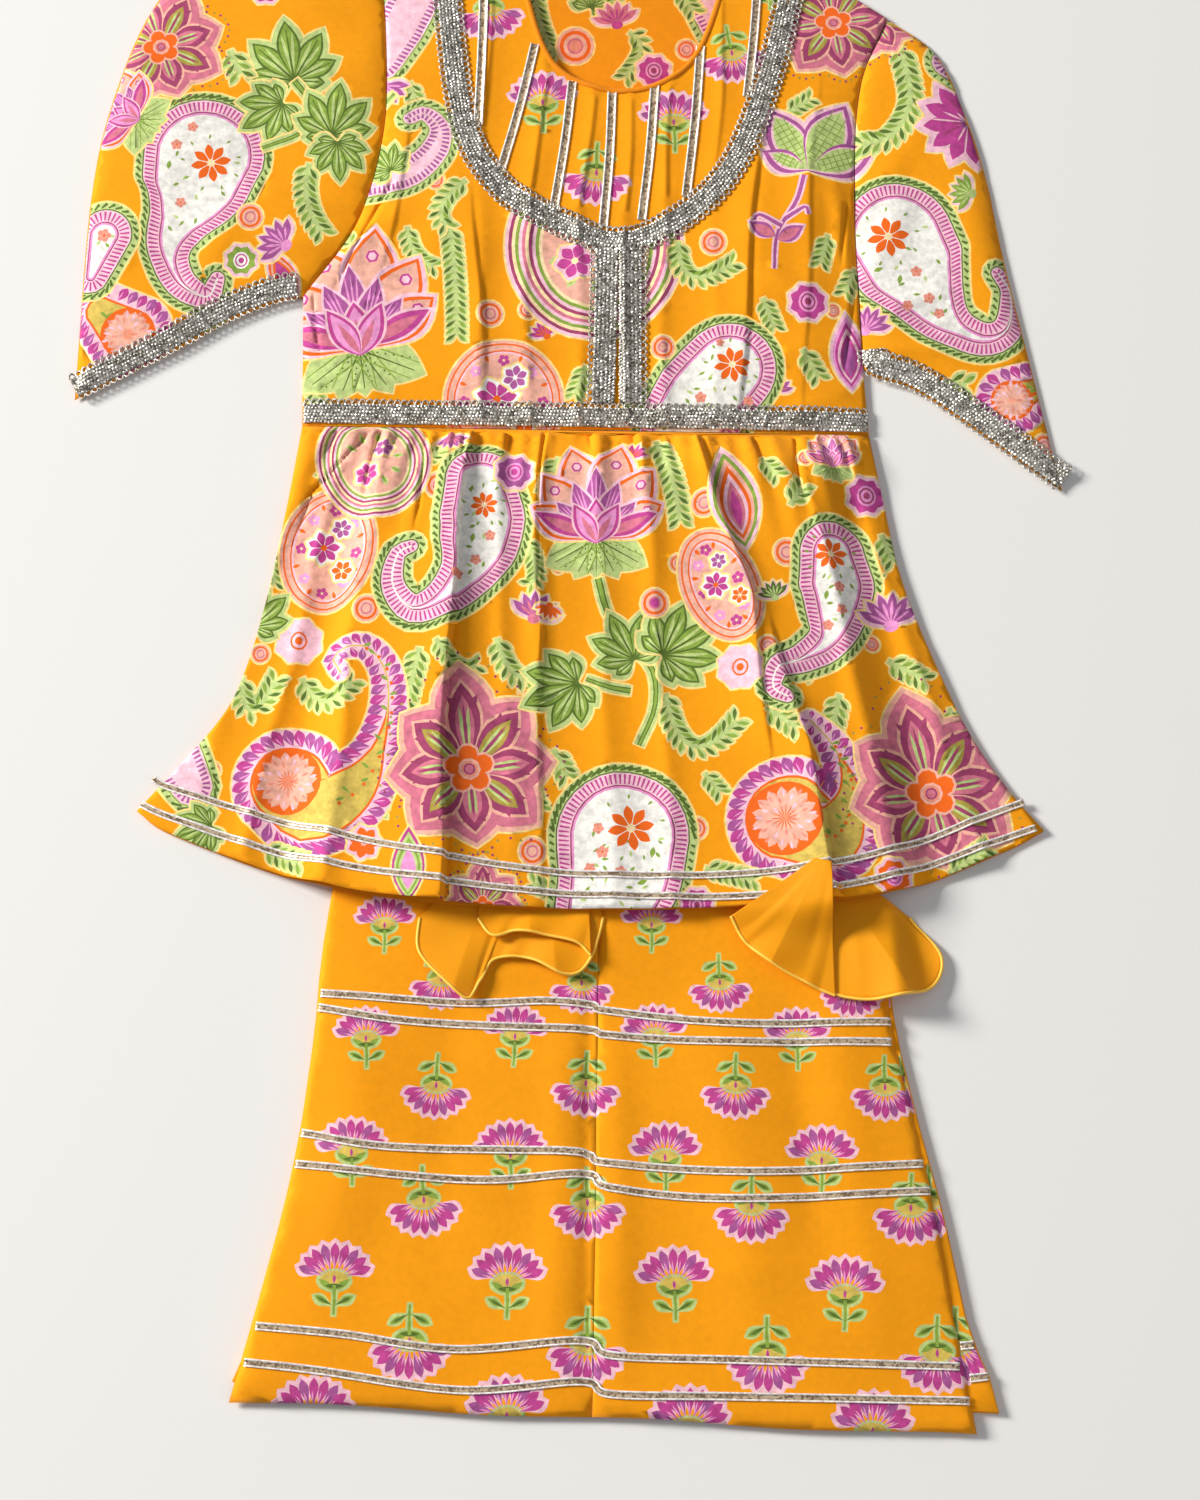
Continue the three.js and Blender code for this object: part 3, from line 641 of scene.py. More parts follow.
# ------------------------------
# The sharara's inner layers: the folded under leg and the insides of both, one rounded stack
# with the folds showing at its edge. The under leg reaches past the upper one at the right.
def moved(inked, x, y, flip=False):
    """The same print shifted, and mirrored where the cloth is turned over."""
    side = np.array([-1 if flip else 1, 1])
    return [(name, counterclockwise(shape * side + (x, y))) for name, shape in inked]


def shaped_grid(name, rings, material, closed=True, capped=True):
    """A grid moved onto rings of points in metres, one ring after another along the piece."""
    count, sides = len(rings), len(rings[0])
    columns = sides + 1 if closed else sides
    mesh = bmesh.new()
    bmesh.ops.create_grid(mesh, x_segments=columns - 1, y_segments=count - 1, size=0.5)
    mesh.verts.ensure_lookup_table()
    for index, vertex in enumerate(mesh.verts):
        vertex.co = rings[index // columns][index % columns % sides]
    if closed:
        bmesh.ops.remove_doubles(mesh, verts=mesh.verts, dist=1e-7)
    if capped:
        bmesh.ops.holes_fill(mesh, edges=mesh.edges, sides=0)
    bmesh.ops.recalc_face_normals(mesh, faces=mesh.faces)
    data = bpy.data.meshes.new(name)
    mesh.to_mesh(data)
    mesh.free()
    data.materials.append(material)
    data.shade_smooth()
    piece = bpy.data.objects.new(name, data)
    scene.collection.objects.link(piece)
    return piece


def printed_plain(piece, shade):
    """One colour of dye over a whole piece."""
    layer = piece.data.color_attributes.new("print", "FLOAT_COLOR", "CORNER")
    layer.data.foreach_set("color", [*INK_COLOURS[shade], 1.0] * len(piece.data.loops))


def layered_stack(name, outline, layers, top, inked, material):
    """Folded layers as one closed solid: rounded edges one over another, and a printed top."""
    outline = counterclockwise(np.asarray(outline, float))
    side = normals_of(np.vstack([outline[-1:], outline, outline[:1]]))[1:-1]
    rings, each = [], top / layers
    for layer in range(layers):
        shy = 0.25 * ((layer * 7) % 3)
        for share, inset in ((0.05, 0.5), (0.3, 0.05), (0.7, 0.05), (0.95, 0.5)):
            rings.append(((layer + share) * each, inset + shy))
    count = len(outline)
    vertices = [laid(outline + side * inset, np.full(count, z)) for z, inset in rings]
    vertices = [tuple(v) for ring in vertices for v in ring]
    faces = []
    for k in range(len(rings) - 1):
        for i in range(count):
            j = (i + 1) % count
            faces.append([k * count + i, k * count + j, (k + 1) * count + j, (k + 1) * count + i])
    colours = [INK_COLOURS["ground"]] * len(faces)
    for ring, flip, shapes in ((len(rings) - 1, False, inked), (0, True, [])):
        z, inset = rings[ring]
        edge = outline + side * inset
        points, triangles, inks = divide(edge, shapes, 9.0)
        start = len(vertices)
        lift = np.minimum(distance_inside(points, edge) / 4, 1) * (0.08 if not flip else -0.03)
        vertices += [tuple(v) for v in laid(points, z + lift)]
        faces += [[start + v for v in (tri[::-1] if flip else tri)] for tri in triangles]
        colours += [INK_COLOURS[ink] for ink in inks]
    piece = add_piece(name, vertices, faces, material, colours)
    weld(piece)
    return piece


under_print = moved(leg_print, 9, 4)
under_leg = leg_outline(SHARARA_LEFT, SHARARA_UNDER, 1.0, 0.0)
under_leg[:, 1] += 10 * np.clip((-under_leg[:, 1] - 330) / 30, 0, 1)
inner_layers = layered_stack("folded_leg_and_inner_layers", under_leg, 3, 3.4, under_print, sprig_cotton)
own(inner_layers, "sprig_print", "leg_under_and_inner_layers")

# The waistband: a cased elastic, flattened, its cloth drawn into close gathers.
BAND_TOP, BAND_BOTTOM, BAND_LEFT, BAND_RIGHT = 96, 72.4, -86, 116
BAND_STEPS, BAND_MIDDLE, BAND_HALF = 180, 2.9, 11.6
round_turn = np.linspace(0, 2 * math.pi, 16, endpoint=False)
band_rings = []
for i, x in enumerate(np.linspace(BAND_LEFT, BAND_RIGHT, BAND_STEPS)):
    gather = 0.45 * math.sin(x * 1.35) + 0.25 * math.sin(x * 0.71 + 1)
    end = min(1.0, 0.5 + min(i, BAND_STEPS - 1 - i) * 0.12)
    y = (BAND_TOP + BAND_BOTTOM) / 2 + BAND_HALF * np.cos(round_turn)
    z = BAND_MIDDLE + np.maximum(-2.8, (2.2 + gather * 0.8) * np.sin(round_turn)) * end
    band_rings.append(laid(np.column_stack([np.full(16, x), y]), z))
waistband = shaped_grid("gathered_waistband", band_rings, sprig_cotton)
printed_plain(waistband, "ground")
own(waistband, "sprig_print", "sharara_waistband")

# The silver ribbons round each leg, three pairs: a flat woven metallic ribbon with a thick
# bright cord along both edges, sewn close to the cloth and slightly puckered.
def silver(name, bright, dark, scale):
    """Metallic thread: a fine mix of bright and dark glints that follows the ribbon."""
    material, shader = new_material(name, {"Metallic": 0.55, "Roughness": 0.32})
    tree = material.node_tree
    place = node(tree, "ShaderNodeTexCoord")
    glint = node(tree, "ShaderNodeTexVoronoi", Scale=scale)
    ramp = tree.nodes.new("ShaderNodeValToRGB")
    ramp.color_ramp.elements[0].color = (*linear(*dark), 1)
    ramp.color_ramp.elements[1].color = (*linear(*bright), 1)
    ramp.color_ramp.elements[0].position = 0.18
    ramp.color_ramp.elements[1].position = 0.62
    parted = node(tree, "ShaderNodeSeparateColor")
    link(place, "Object", glint, "Vector")
    link(glint, "Color", parted, "Color")
    link(parted, "Red", ramp, "Fac")
    link(ramp, "Color", shader, "Base Color")
    bump = node(tree, "ShaderNodeBump", Strength=0.8, Distance=0.0004)
    link(parted, "Green", bump, "Height")
    link(bump, "Normal", shader, "Normal")
    return material


ribbon_silver = silver("ribbon_silver", (214, 190, 158), (132, 108, 84), 900.0)
edge_silver = silver("edge_silver", (255, 251, 246), (224, 212, 206), 700.0)
edge_silver.node_tree.nodes["Principled BSDF"].inputs["Metallic"].default_value = 0.2
edge_silver.node_tree.nodes["Bump"].inputs["Strength"].default_value = 0.4


def sweep(name, line, heights, section, material):
    """A section of (across, up) points carried along a line at the heights of each section point."""
    side = normals_of(line)
    courses = [laid(line + side * across, heights[k] + up) for k, (across, up) in enumerate(section)]
    return shaped_grid(name, list(np.stack(courses, axis=1)), material)


def gota(name, points, height, width=4.0):
    """A ribbon sewn along a line on the cloth, with a cord along each edge."""
    step = 1.3
    length = np.hypot(*np.diff(smooth(points, 60), axis=0).T).sum()
    line = smooth(points, max(12, int(length / step)))
    half = width / 2
    cord = [(half, 0.05), (half, 0.55), (half - 0.35, 0.75), (half - 0.75, 0.55), (half - 0.9, 0.32)]
    section = cord + [(0.0, 0.38)] + [(-across, up) for across, up in reversed(cord)]
    side = normals_of(line)
    pucker = 0.09 * np.sin(np.arange(len(line)) * step * 2 * math.pi / 3.1)
    ground = height(line)
    heights = []
    for across, up in section:
        heights.append(np.maximum(height(line + side * across), ground - 0.2) + pucker + 0.12)
    piece = sweep(name, line, heights, section, ribbon_silver)
    piece.data.materials.append(edge_silver)
    for face in piece.data.polygons:
        middle = np.array(face.center[:2]) / MM - LAY_SHIFT
        if np.hypot(*(line - middle).T).min() > half - 1.0:
            face.material_index = 1
    return piece


LEG_RIBBONS = {
    # the ribbon's course across the upper leg, stepping where it crosses the side seam
    "1_upper": [(-120.5, -164), (-53, -169), (-12, -168), (11, -170), (19, -173), (80, -179), (155.5, -178)],
    "1_lower": [(-121.5, -171), (-86, -177), (-44, -180), (8, -182), (20, -185), (73, -188), (155.5, -188)],
    "2_upper": [(-128.5, -232), (-86, -239), (-4, -241), (10, -243), (20, -247), (87, -251), (169.5, -247)],
    "2_lower": [(-131, -247), (-76, -253), (-36, -255), (8, -252), (21, -259), (80, -264), (172.5, -260)],
    "3_upper": [(-148, -324), (-106, -328), (-54, -335), (6, -331), (21, -338), (80, -340), (184.5, -343)],
    "3_lower": [(-153, -341), (-117, -345), (-51, -354), (6, -350), (21, -356), (80, -357), (189, -359)],
}
for row, course in LEG_RIBBONS.items():
    own(gota(f"leg_ribbon_{row}_gota", course, leg_height), "silver_trim", f"leg_ribbon_{row}")

# The under leg's lowest pair of ribbons shows where that leg reaches past the upper one.
UNDER_LEG_TOP = 3.42
UNDER_RIBBONS = {
    "under_leg_ribbon_3_upper": [(185.2, -333.2), (191.6, -332.6)],
    "under_leg_ribbon_3_lower": [(189.3, -348.4), (198.0, -347.4)],
}
for ribbon, course in UNDER_RIBBONS.items():
    own(gota(ribbon + "_gota", course, lambda points: UNDER_LEG_TOP + 0 * points[:, 0]), "silver_trim")

# ------------------------------
# The dupatta: a length of sheer golden cotton folded flat on the sharara under the kurta. Its
# two ends come out below the kurta's hem in loose ruffles with a rolled, stitched rim.
sheer, sheer_shader = new_material("sheer_gold", {
    "Base Color": (*linear(252, 162, 5), 1),
    "Roughness": 0.6,
    "Specular IOR Level": 0.2,
    "Subsurface Weight": 0.15,
    "Subsurface Scale": 0.002,
})
sheer_tree = sheer.node_tree
sheer_place = node(sheer_tree, "ShaderNodeTexCoord")
mesh_x = node(sheer_tree, "ShaderNodeTexWave", Scale=700.0, bands_direction="X")
mesh_y = node(sheer_tree, "ShaderNodeTexWave", Scale=700.0, bands_direction="Y")
link(sheer_place, "Object", mesh_x, "Vector")
link(sheer_place, "Object", mesh_y, "Vector")
open_weave = node(sheer_tree, "ShaderNodeMath", operation="MAXIMUM")
link(mesh_x, "Fac", open_weave, 0)
link(mesh_y, "Fac", open_weave, 1)
cover = node(sheer_tree, "ShaderNodeMapRange", **{"To Min": 0.62, "To Max": 0.95})
link(open_weave, "Value", cover, "Value")
link(cover, "Result", sheer_shader, "Alpha")
sheer_bump = node(sheer_tree, "ShaderNodeBump", Strength=0.3, Distance=0.0002)
link(open_weave, "Value", sheer_bump, "Height")
link(sheer_bump, "Normal", sheer_shader, "Normal")

rim_thread, _ = new_material("rim_thread", {"Base Color": (*linear(255, 198, 66), 1), "Roughness": 0.55})

fold_outline = np.array([(-61, -59), (-67, -111), (145, -111), (145, -59)], float)
fold_outline = np.vstack([smooth(fold_outline[[k, (k + 1) % 4]], 30)[:-1] for k in range(4)])
folded_dupatta = layered_stack("dupatta_folded_layers", fold_outline, 2, 2.3, [], sheer)
DUPATTA_REST = 6.8
for vertex in folded_dupatta.data.vertices:
    vertex.co.z += DUPATTA_REST * MM
own(folded_dupatta, "sheer_cloth", "dupatta_folded")


def rest_height(points):
    """On the leg, over its first ribbon; past the leg's edge, down to the floor."""
    x, y = points.T
    on_leg = 7.2 + 1.3 * np.clip((-130 - y) / 15, 0, 1)
    off = np.clip((x - at_row(SHARARA, y, SHARARA_UNDER) - 1) / 16, 0, 1)
    return on_leg * (1 - off * off * (3 - 2 * off)) + 0.3


def ruffled_end(name, root, rim, waves, height, reach, seed, rest=rest_height):
    """An end of the dupatta: flat at the root, ruffled more and more towards its rolled rim."""
    draw = random.Random(seed)
    across, down = 150, 26
    start, stop = smooth(root, across), smooth(rim, across)
    u = np.linspace(0, 1, across)
    phase = 2 * math.pi * waves * (u + 0.04 * np.sin(2 * math.pi * u * 1.5 + draw.random() * 6))
    outward = normals_of(stop)
    along = np.stack([outward[:, 1], -outward[:, 0]], 1)
    rows = []
    for v in np.linspace(0, 1, down):
        ease = v ** 1.6
        flat = start + (stop - start) * v
        swing = along * (reach * ease * np.sin(2 * phase + 0.4))[:, None]
        points = flat + swing - outward * (0.8 * ease * np.cos(phase))[:, None]
        lift = height * ease * (1 - np.abs(np.cos(phase / 2)))
        lift += 0.5 * ease * np.sin(3.1 * phase + v * 5)
        rows.append(laid(points, rest(points) + np.maximum(lift, 0)))
    piece = shaped_grid(name, rows, sheer, closed=False, capped=False)
    thicken(piece, 0.35, 0)
    edge = rows[-1]
    tangent = np.gradient(edge, axis=0)
    tangent /= np.linalg.norm(tangent, axis=1)[:, None]
    flat_side = np.cross(tangent, (0, 0, 1))
    flat_side /= np.linalg.norm(flat_side, axis=1)[:, None]
    up = np.cross(flat_side, tangent)
    turns = [math.pi / 3 * k for k in range(6)]
    tube = [edge + 0.8 * MM * (flat_side * math.cos(turn) + up * math.sin(turn)) for turn in turns]
    rolled = shaped_grid(name + "_rolled_rim", list(np.stack(tube, axis=1)), rim_thread)
    own(piece, "sheer_cloth")
    own(rolled, "sheer_cloth")
    return piece


DUPATTA_LEFT = [(-72, -126), (-73, -144), (-60, -160), (-49, -168), (-43, -158), (-38, -148), (-28, -146),
                (-17, -149), (-4, -156), (5, -155), (11, -147), (14, -136), (16, -126)]
DUPATTA_LEFT_FOLD = [(-44, -127), (-37, -136), (-26, -135), (-12, -137), (4, -140), (11, -146)]
DUPATTA_RIGHT = [(119, -160), (134, -166), (152, -168), (175, -162), (181, -146), (166, -127)]
end_left = ruffled_end("dupatta_end_left_ruffles", [(-60, -111.5), (10, -111.5)],
                       DUPATTA_LEFT, 2.0, 4.0, 1.2, 4)
end_right = ruffled_end("dupatta_end_right_ruffles", [(122, -111.5), (146, -111.5)],
                        DUPATTA_RIGHT, 1.0, 8.0, 2.6, 9)


def over_left(points):
    """The upper fold of the left end, which rises from the layer under it as it comes out."""
    return rest_height(points) + 0.6 + 3 * np.clip((-118 - points[:, 1]) / 15, 0, 1)


fold_left = ruffled_end("dupatta_end_left_upper_fold", [(-44, -112), (9, -112)],
                        DUPATTA_LEFT_FOLD, 1.0, 2.0, 1.0, 12, over_left)
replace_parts(end_left, "dupatta_end_left")
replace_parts(end_right, "dupatta_end_right")

# ------------------------------
# The kurta's cloth: cotton block printed by hand with large paisleys, lotuses, star flowers and
# trailing vines in green, pink, magenta and orange. Each motif is a stack of flat inks.
def around(x, y, turn, wide, tall=None):
    """The point on a circle or an oval about a place, at a turn in degrees."""
    end = math.radians(turn)
    return x + wide * math.cos(end), y + (tall or wide) * math.sin(end)


def across_band(outer, inner, pitch, lean):
    """Pairs of points, a pitch apart, across the band between two outlines with like corners."""
    outer = np.vstack([outer, outer[:1]])
    inner = np.vstack([inner, inner[:1]])
    run = np.concatenate([[0], np.cumsum(np.hypot(*np.diff((outer + inner) / 2, axis=0).T))])
    count = max(3, int(run[-1] / pitch))
    index = np.arange(len(run))
    pairs = []
    for share in (np.arange(count) + 0.5) / count:
        at = np.interp(share * run[-1], run, index)
        other = (at + lean) % index[-1]
        pairs.append(([np.interp(at, index, outer[:, k]) for k in (0, 1)],
                      [np.interp(other, index, inner[:, k]) for k in (0, 1)]))
    return pairs


def ticks(stamp, name, outer, inner, pitch, foot, tip, lean=0.0):
    """Short strokes across the band between two outlines."""
    for a, b in across_band(outer, inner, pitch, lean):
        stamp.ink(name, stroke([a, b], tip, foot, 3))


def flower(stamp, x, y, radius, petals, petal_ink, centre_ink, width, turn, halo=None):
    angles = [turn + 360 * k / petals for k in range(petals)]
    for angle in angles if halo else ():
        stamp.edge(halo, petal(x, y, angle, radius * 1.2, radius * width * 1.6, 1.3))
    for angle in angles:
        stamp.ink(petal_ink, petal(x, y, angle, radius, radius * width, 1.5))
    stamp.ink(centre_ink, disc(x, y, radius * 0.2, count=8))


def paisley(stamp, spine, radii, blossoms):
    """A paisley: leafy rim, striped pink border, and a pale heart with small flowers in it."""
    ring = [comma(spine, radii, grow) for grow in (4.6, 3.9, 1.6, 0.9, 0.2, -0.6, -5.6, -6.2, -6.9, -8.0)]
    stamp.edge("leaf_pale", ring[0])
    ticks(stamp, "leaf_dark", ring[1], ring[2], 3.9, 0.9, 1.7, 0.8)
    stamp.ink("leaf_dark", ring[3])
    stamp.ink("pale_pink", ring[4])
    ticks(stamp, "magenta", ring[5], ring[6], 2.3, 0.75, 1.15)
    stamp.ink("plum", ring[7])
    stamp.ink("pink", ring[8])
    stamp.ink("white", ring[9])
    middle = smooth(spine, 26)
    reach = np.interp(np.linspace(0, 1, 26), np.linspace(0, 1, len(radii)), radii)
    for k in range(26):
        out = (reach[k] - 11) * (0.8, -0.7, 0.25, -0.3)[k % 4]
        if reach[k] > 13:
            spot = middle[k] + normals_of(middle)[k] * out
            stamp.ink("leaf" if k % 3 else "leaf_pale", petal(*spot, 77 * k, 3.8, 1.6, 1.2, 4))
    for k, (x, y, size) in enumerate(blossoms):
        if size > 5:
            flower(stamp, x, y, size, 8, "orange", "cream", 0.42, 10)
            for j in range(9):
                near = around(x, y, 40 * j + 15, 1.25 * size)
                stamp.ink("leaf", petal(*near, 40 * j, 3.0, 1.3, 1.2, 3))
        elif k % 3 == 2:
            stamp.ink("leaf", petal(x, y, 40 * k, size * 1.7, size * 0.8, 1.1, 4))
        else:
            flower(stamp, x, y, size, 5, "salmon", "orange", 0.8, 20 * k)


def layered_petal(stamp, x, y, lie, long, wide, layers):
    """One petal laid on another from the same foot: ink, longer by, wider by, fullness, corners."""
    for ink, longer, wider, fullness, count in layers:
        stamp.ink(ink, petal(x, y, lie, long + longer, wide + wider, fullness, count))


def curl(stamp, spine, radii):
    """A leafy curl: the striped end of a paisley whose body lies under a seam."""
    ring = [comma(spine, radii, grow) for grow in (4.2, 3.6, 1.5, 0.9, 0.2, -0.8, -4.6)]
    stamp.edge("leaf_pale", ring[0])
    ticks(stamp, "leaf_dark", ring[1], ring[2], 3.9, 0.9, 1.6, 0.8)
    stamp.ink("leaf", ring[3])
    stamp.ink("pale_pink", ring[4])
    ticks(stamp, "violet", ring[5], ring[6], 2.4, 0.9, 1.4)


GOLDEN_ANGLE = 137.5


def sunflower_paisley(stamp, spine, radii, heart):
    """A paisley fringed with magenta petals; an orange disc with a pink carnation in its head."""
    ring = [comma(spine, radii, grow) for grow in (1.6, 0.6, -7.6, -6.6, -7.6, -8.8)]
    stamp.edge("pale_pink", ring[0])
    for k, (foot, tip) in enumerate(across_band(ring[2], ring[1], 5.2, 0.8)):
        reach = math.hypot(tip[0] - foot[0], tip[1] - foot[1])
        turn = math.degrees(math.atan2(tip[1] - foot[1], tip[0] - foot[0]))
        ink = "magenta" if k % 2 else "violet"
        stamp.ink(ink, petal(*foot, turn, reach * 1.12, min(5.6, reach * 0.62), 1.5))
        stamp.ink("pink", petal(*foot, turn + 8, reach * 0.8, 0.8, 1.5, 3))
    stamp.ink("pale_pink", ring[3])
    stamp.ink("orange", ring[4])
    stamp.ink("moss", ring[5])
    line = smooth(spine, 40)
    for k in range(8, 34, 2):
        stamp.ink("leaf", petal(*line[k], 60 * (k % 4) + 20, 4.6, 1.8, 1.1, 4))
        stamp.ink("orange", disc(*(line[k] + (1.8, -1.4)), 1.0, count=6))
    x, y = heart
    stamp.ink("orange", disc(x, y, radii[0] * 0.64, count=22))
    for k in range(15):
        stamp.ink("blush", petal(x, y, 24 * k, radii[0] * 0.56, 5.4, 2.0, 5))
    for k in range(26):
        foot = around(x, y, GOLDEN_ANGLE * k, 1.5 + radii[0] * 0.38 * math.sqrt(k / 26))
        stamp.ink("pale_pink" if k % 2 else "salmon", petal(*foot, GOLDEN_ANGLE * k, 4.2, 1.6, 1.4, 3))


def garland(stamp, points, leaf):
    """A sprig: pale shapes first, then pairs of leaves stepping along it. Three points make a bow."""
    if len(points) == 3:
        a, b, c = np.array(points, float)
        t = np.linspace(0, 1, 7)[:, None]
        points = a * (1 - t) ** 2 + (2 * b - (a + c) / 2) * 2 * t * (1 - t) + c * t ** 2
    line = smooth(points, 80)
    length = np.hypot(*np.diff(line, axis=0).T).sum()
    count = max(2, int(length / (leaf * 0.55)))
    stamp.edge("leaf_pale", stroke(points, leaf * 0.5, leaf * 0.4, 14))
    places = []
    for k in range(count):
        index = min(78, int((k + 0.5) / count * 80))
        ahead = line[index + 1] - line[index]
        places.append((line[index], math.degrees(math.atan2(ahead[1], ahead[0])), k))
    for place, angle, k in places:
        for lean in (48, -48):
            stamp.edge("leaf_pale", petal(*place, angle + lean, leaf * 1.26, leaf * 0.56, 1.1, 5))
    for place, angle, k in places:
        for lean in (48, -48):
            ink = "leaf_dark" if (k + (lean > 0)) % 2 else "leaf"
            foot = around(*place, angle + lean, 0.12 * leaf)
            stamp.ink(ink, petal(*foot, angle + lean - 6, leaf * 0.98, leaf * 0.3, 1.3, 4))


def vine_leaf(stamp, x, y, turn, size):
    """A leaf of seven narrow lobes spreading from its foot, streaked dark and light."""
    lobes = ((104, 13, 7), (-104, 13, 7), (70, 20, 8.5), (-70, 20, 8.5), (36, 25, 9.5), (-36, 25, 9.5),
             (0, 28, 10))
    for lean, long, wide in lobes:
        stamp.edge("leaf_pale", petal(x, y, turn + lean, (long + 2.6) * size, (wide + 3.6) * size, 1.2, 8))
    for lean, long, wide in lobes:
        lie = turn + lean
        stamp.ink("leaf_dark", petal(x, y, lie, long * size, wide * size, 1.25, 8))
        stamp.ink("leaf", petal(x, y, lie, (long - 1.2) * size, (wide - 2.0) * size, 1.3, 8))
        for side in (-6, 6):
            stamp.ink("leaf_pale", petal(x, y, lie + side, long * 0.8 * size, 1.5 * size, 1.5, 4))
        tip = around(x, y, lie, long * 0.84 * size)
        stamp.ink("leaf_dark", stroke([(x, y), tip], 1.1 * size, 0.5, 4))


def vine(stamp, points, width=3.2):
    stamp.edge("leaf_pale", stroke(points, width + 2.2, width + 1.8, 18))
    stamp.ink("leaf_dark", stroke(points, width * 0.95, width * 0.6, 18))
    stamp.ink("leaf", stroke(points, width * 0.55, width * 0.3, 18))


def star_flower(stamp, x, y, radius, turn):
    """A large open flower: wide dusky lobes with streaked, toothed hearts and a dotted edge."""
    shares = (1.22, 1.04, 0.96, 1.0, 0.88, 0.97, 0.92, 0.97)
    lobes = [(90 - 45 * k + turn, radius * share) for k, share in enumerate(shares)]
    for lie, long in lobes:
        for k in range(9):
            across = (k - 4) * 0.09
            spot = around(x, y, lie + math.degrees(across), long * (1.13 - 1.5 * across ** 2))
            stamp.ink("olive" if k % 2 else "plum", disc(*spot, 0.75, count=6))
    for lie, long in lobes:
        stamp.edge("blush", petal(x, y, lie, long * 1.05, radius * 0.74, 1.35, 9))
    for lie, long in lobes:
        stamp.ink("mauve", petal(x, y, lie, long * 0.99, radius * 0.64, 1.35, 9))
    for k, (lie, long) in enumerate(lobes):
        stamp.ink("blush", petal(x, y, lie, long * 0.88, radius * 0.44, 1.3))
        stamp.ink("plum", petal(x, y, lie, long * 0.84, radius * 0.37, 1.3))
        for side in (-34, 34):
            for tooth in (0.34, 0.5):
                foot = around(x, y, lie, long * tooth)
                stamp.ink("plum", petal(*foot, lie + side, long * 0.26, radius * 0.09, 1.2, 4))
        stamp.ink("olive" if k % 2 else "mauve", petal(x, y, lie, long * 0.72, radius * 0.22, 1.4))
        for side in (-4, 4):
            stamp.ink("leaf_pale", petal(x, y, lie + side, long * 0.62, radius * 0.05, 1.6, 4))
        stamp.ink("plum", petal(x, y, lie, long * 0.66, radius * 0.045, 1.4, 4))
    for ink, out, wide in (("blush", 0.17, 0.14), ("orange", 0.17, 0.11), ("blush", 0.0, 0.13),
                           ("salmon", 0.0, 0.1), ("plum", 0.0, 0.07), ("mauve", 0.0, 0.05)):
        for k in range(5 if out else 1):
            spot = around(x, y, 72 * k + turn + 18, radius * out)
            stamp.ink(ink, disc(*spot, radius * wide, count=9))


def lotus(stamp):
    """A lotus over a collar of pale leaves: its foot at the stamp's place, standing up."""
    collar = ((-150, 34, 22), (-118, 27, 18), (-90, 24, 16), (-62, 27, 18), (-30, 34, 22), (178, 24, 14),
              (2, 24, 14))
    for angle, long, wide in collar:
        stamp.edge("leaf_pale", petal(0, 3, angle, long, wide, 0.95, 9))
    for angle, long in ((-150, 28), (-118, 22), (-90, 20), (-62, 22), (-30, 28)):
        end = math.radians(angle)
        for side in (-4, 0, 4):
            foot = (side * math.sin(end), 3 - side * math.cos(end))
            tip = (foot[0] * 1.4 + long * math.cos(end), foot[1] + long * math.sin(end))
            stamp.ink("leaf" if side else "leaf_dark", stroke([foot, tip], 0.9, 0.5, 4))
        for k in range(5):
            spot = around(0, 3, angle + 12.6, long * (0.3 + 0.14 * k))
            stamp.ink("leaf_dark", disc(*spot, 0.55, count=5))
    outer = ((104, 60, 24), (76, 62, 26), (52, 54, 24), (128, 50, 22), (30, 44, 20), (152, 42, 20))
    for angle, long, wide in outer:
        stamp.edge("pale_pink", petal(0, 2, angle, long + 2.2, wide + 4, 1.35, 9))
    for angle, long, wide in outer:
        layered_petal(stamp, 0, 2, angle, long, wide, (
            ("pale_pink", 2.2, 4, 1.35, 9), ("orange", 0, 0, 1.35, 9), ("blush", -2, -4, 1.4, 9)))
        spot = around(0, 2, angle, long * 0.78)
        stamp.ink("magenta", disc(*spot, 3.3, 3.3, 6))
        stamp.ink("pale_pink", disc(*spot, 2.1, 2.1, 6))
    for angle, long, wide in ((90, 44, 13), (70, 38, 12), (110, 38, 12), (46, 33, 11), (134, 33, 11)):
        layered_petal(stamp, 0, 2, angle, long, wide, (
            ("pale_pink", 1.6, 2.6, 1.1, 8), ("violet", 0, 0, 1.1, 8)))
        for side in (-7, 0, 7):
            stamp.ink("pink", petal(0, 2, angle + side * 0.6, long * 0.92, 1.2, 1.5, 4))
    for angle, long, wide in ((22, 38, 11), (158, 38, 11)):
        layered_petal(stamp, 0, 4, angle, long, wide, (
            ("pale_pink", 1.8, 2.6, 1.2, 8), ("magenta", 0, 0, 1.2, 8), ("mauve", -5.32, -4.95, 1.3, 6)))
    for angle, long, wide in ((90, 27, 14), (62, 28, 12), (118, 28, 12)):
        stamp.ink("pale_pink", petal(0, 0, angle, long + 1.4, wide + 2.4, 0.9, 8))
        stamp.ink("magenta", petal(0, 0, angle, long, wide, 0.9, 8))
        stamp.ink("pink", petal(0, 0.5, angle, long - 3, wide - 3, 0.9, 8))
        stamp.ink("mauve", petal(0, 1, angle, long * 0.66, wide * 0.32, 0.9, 6))


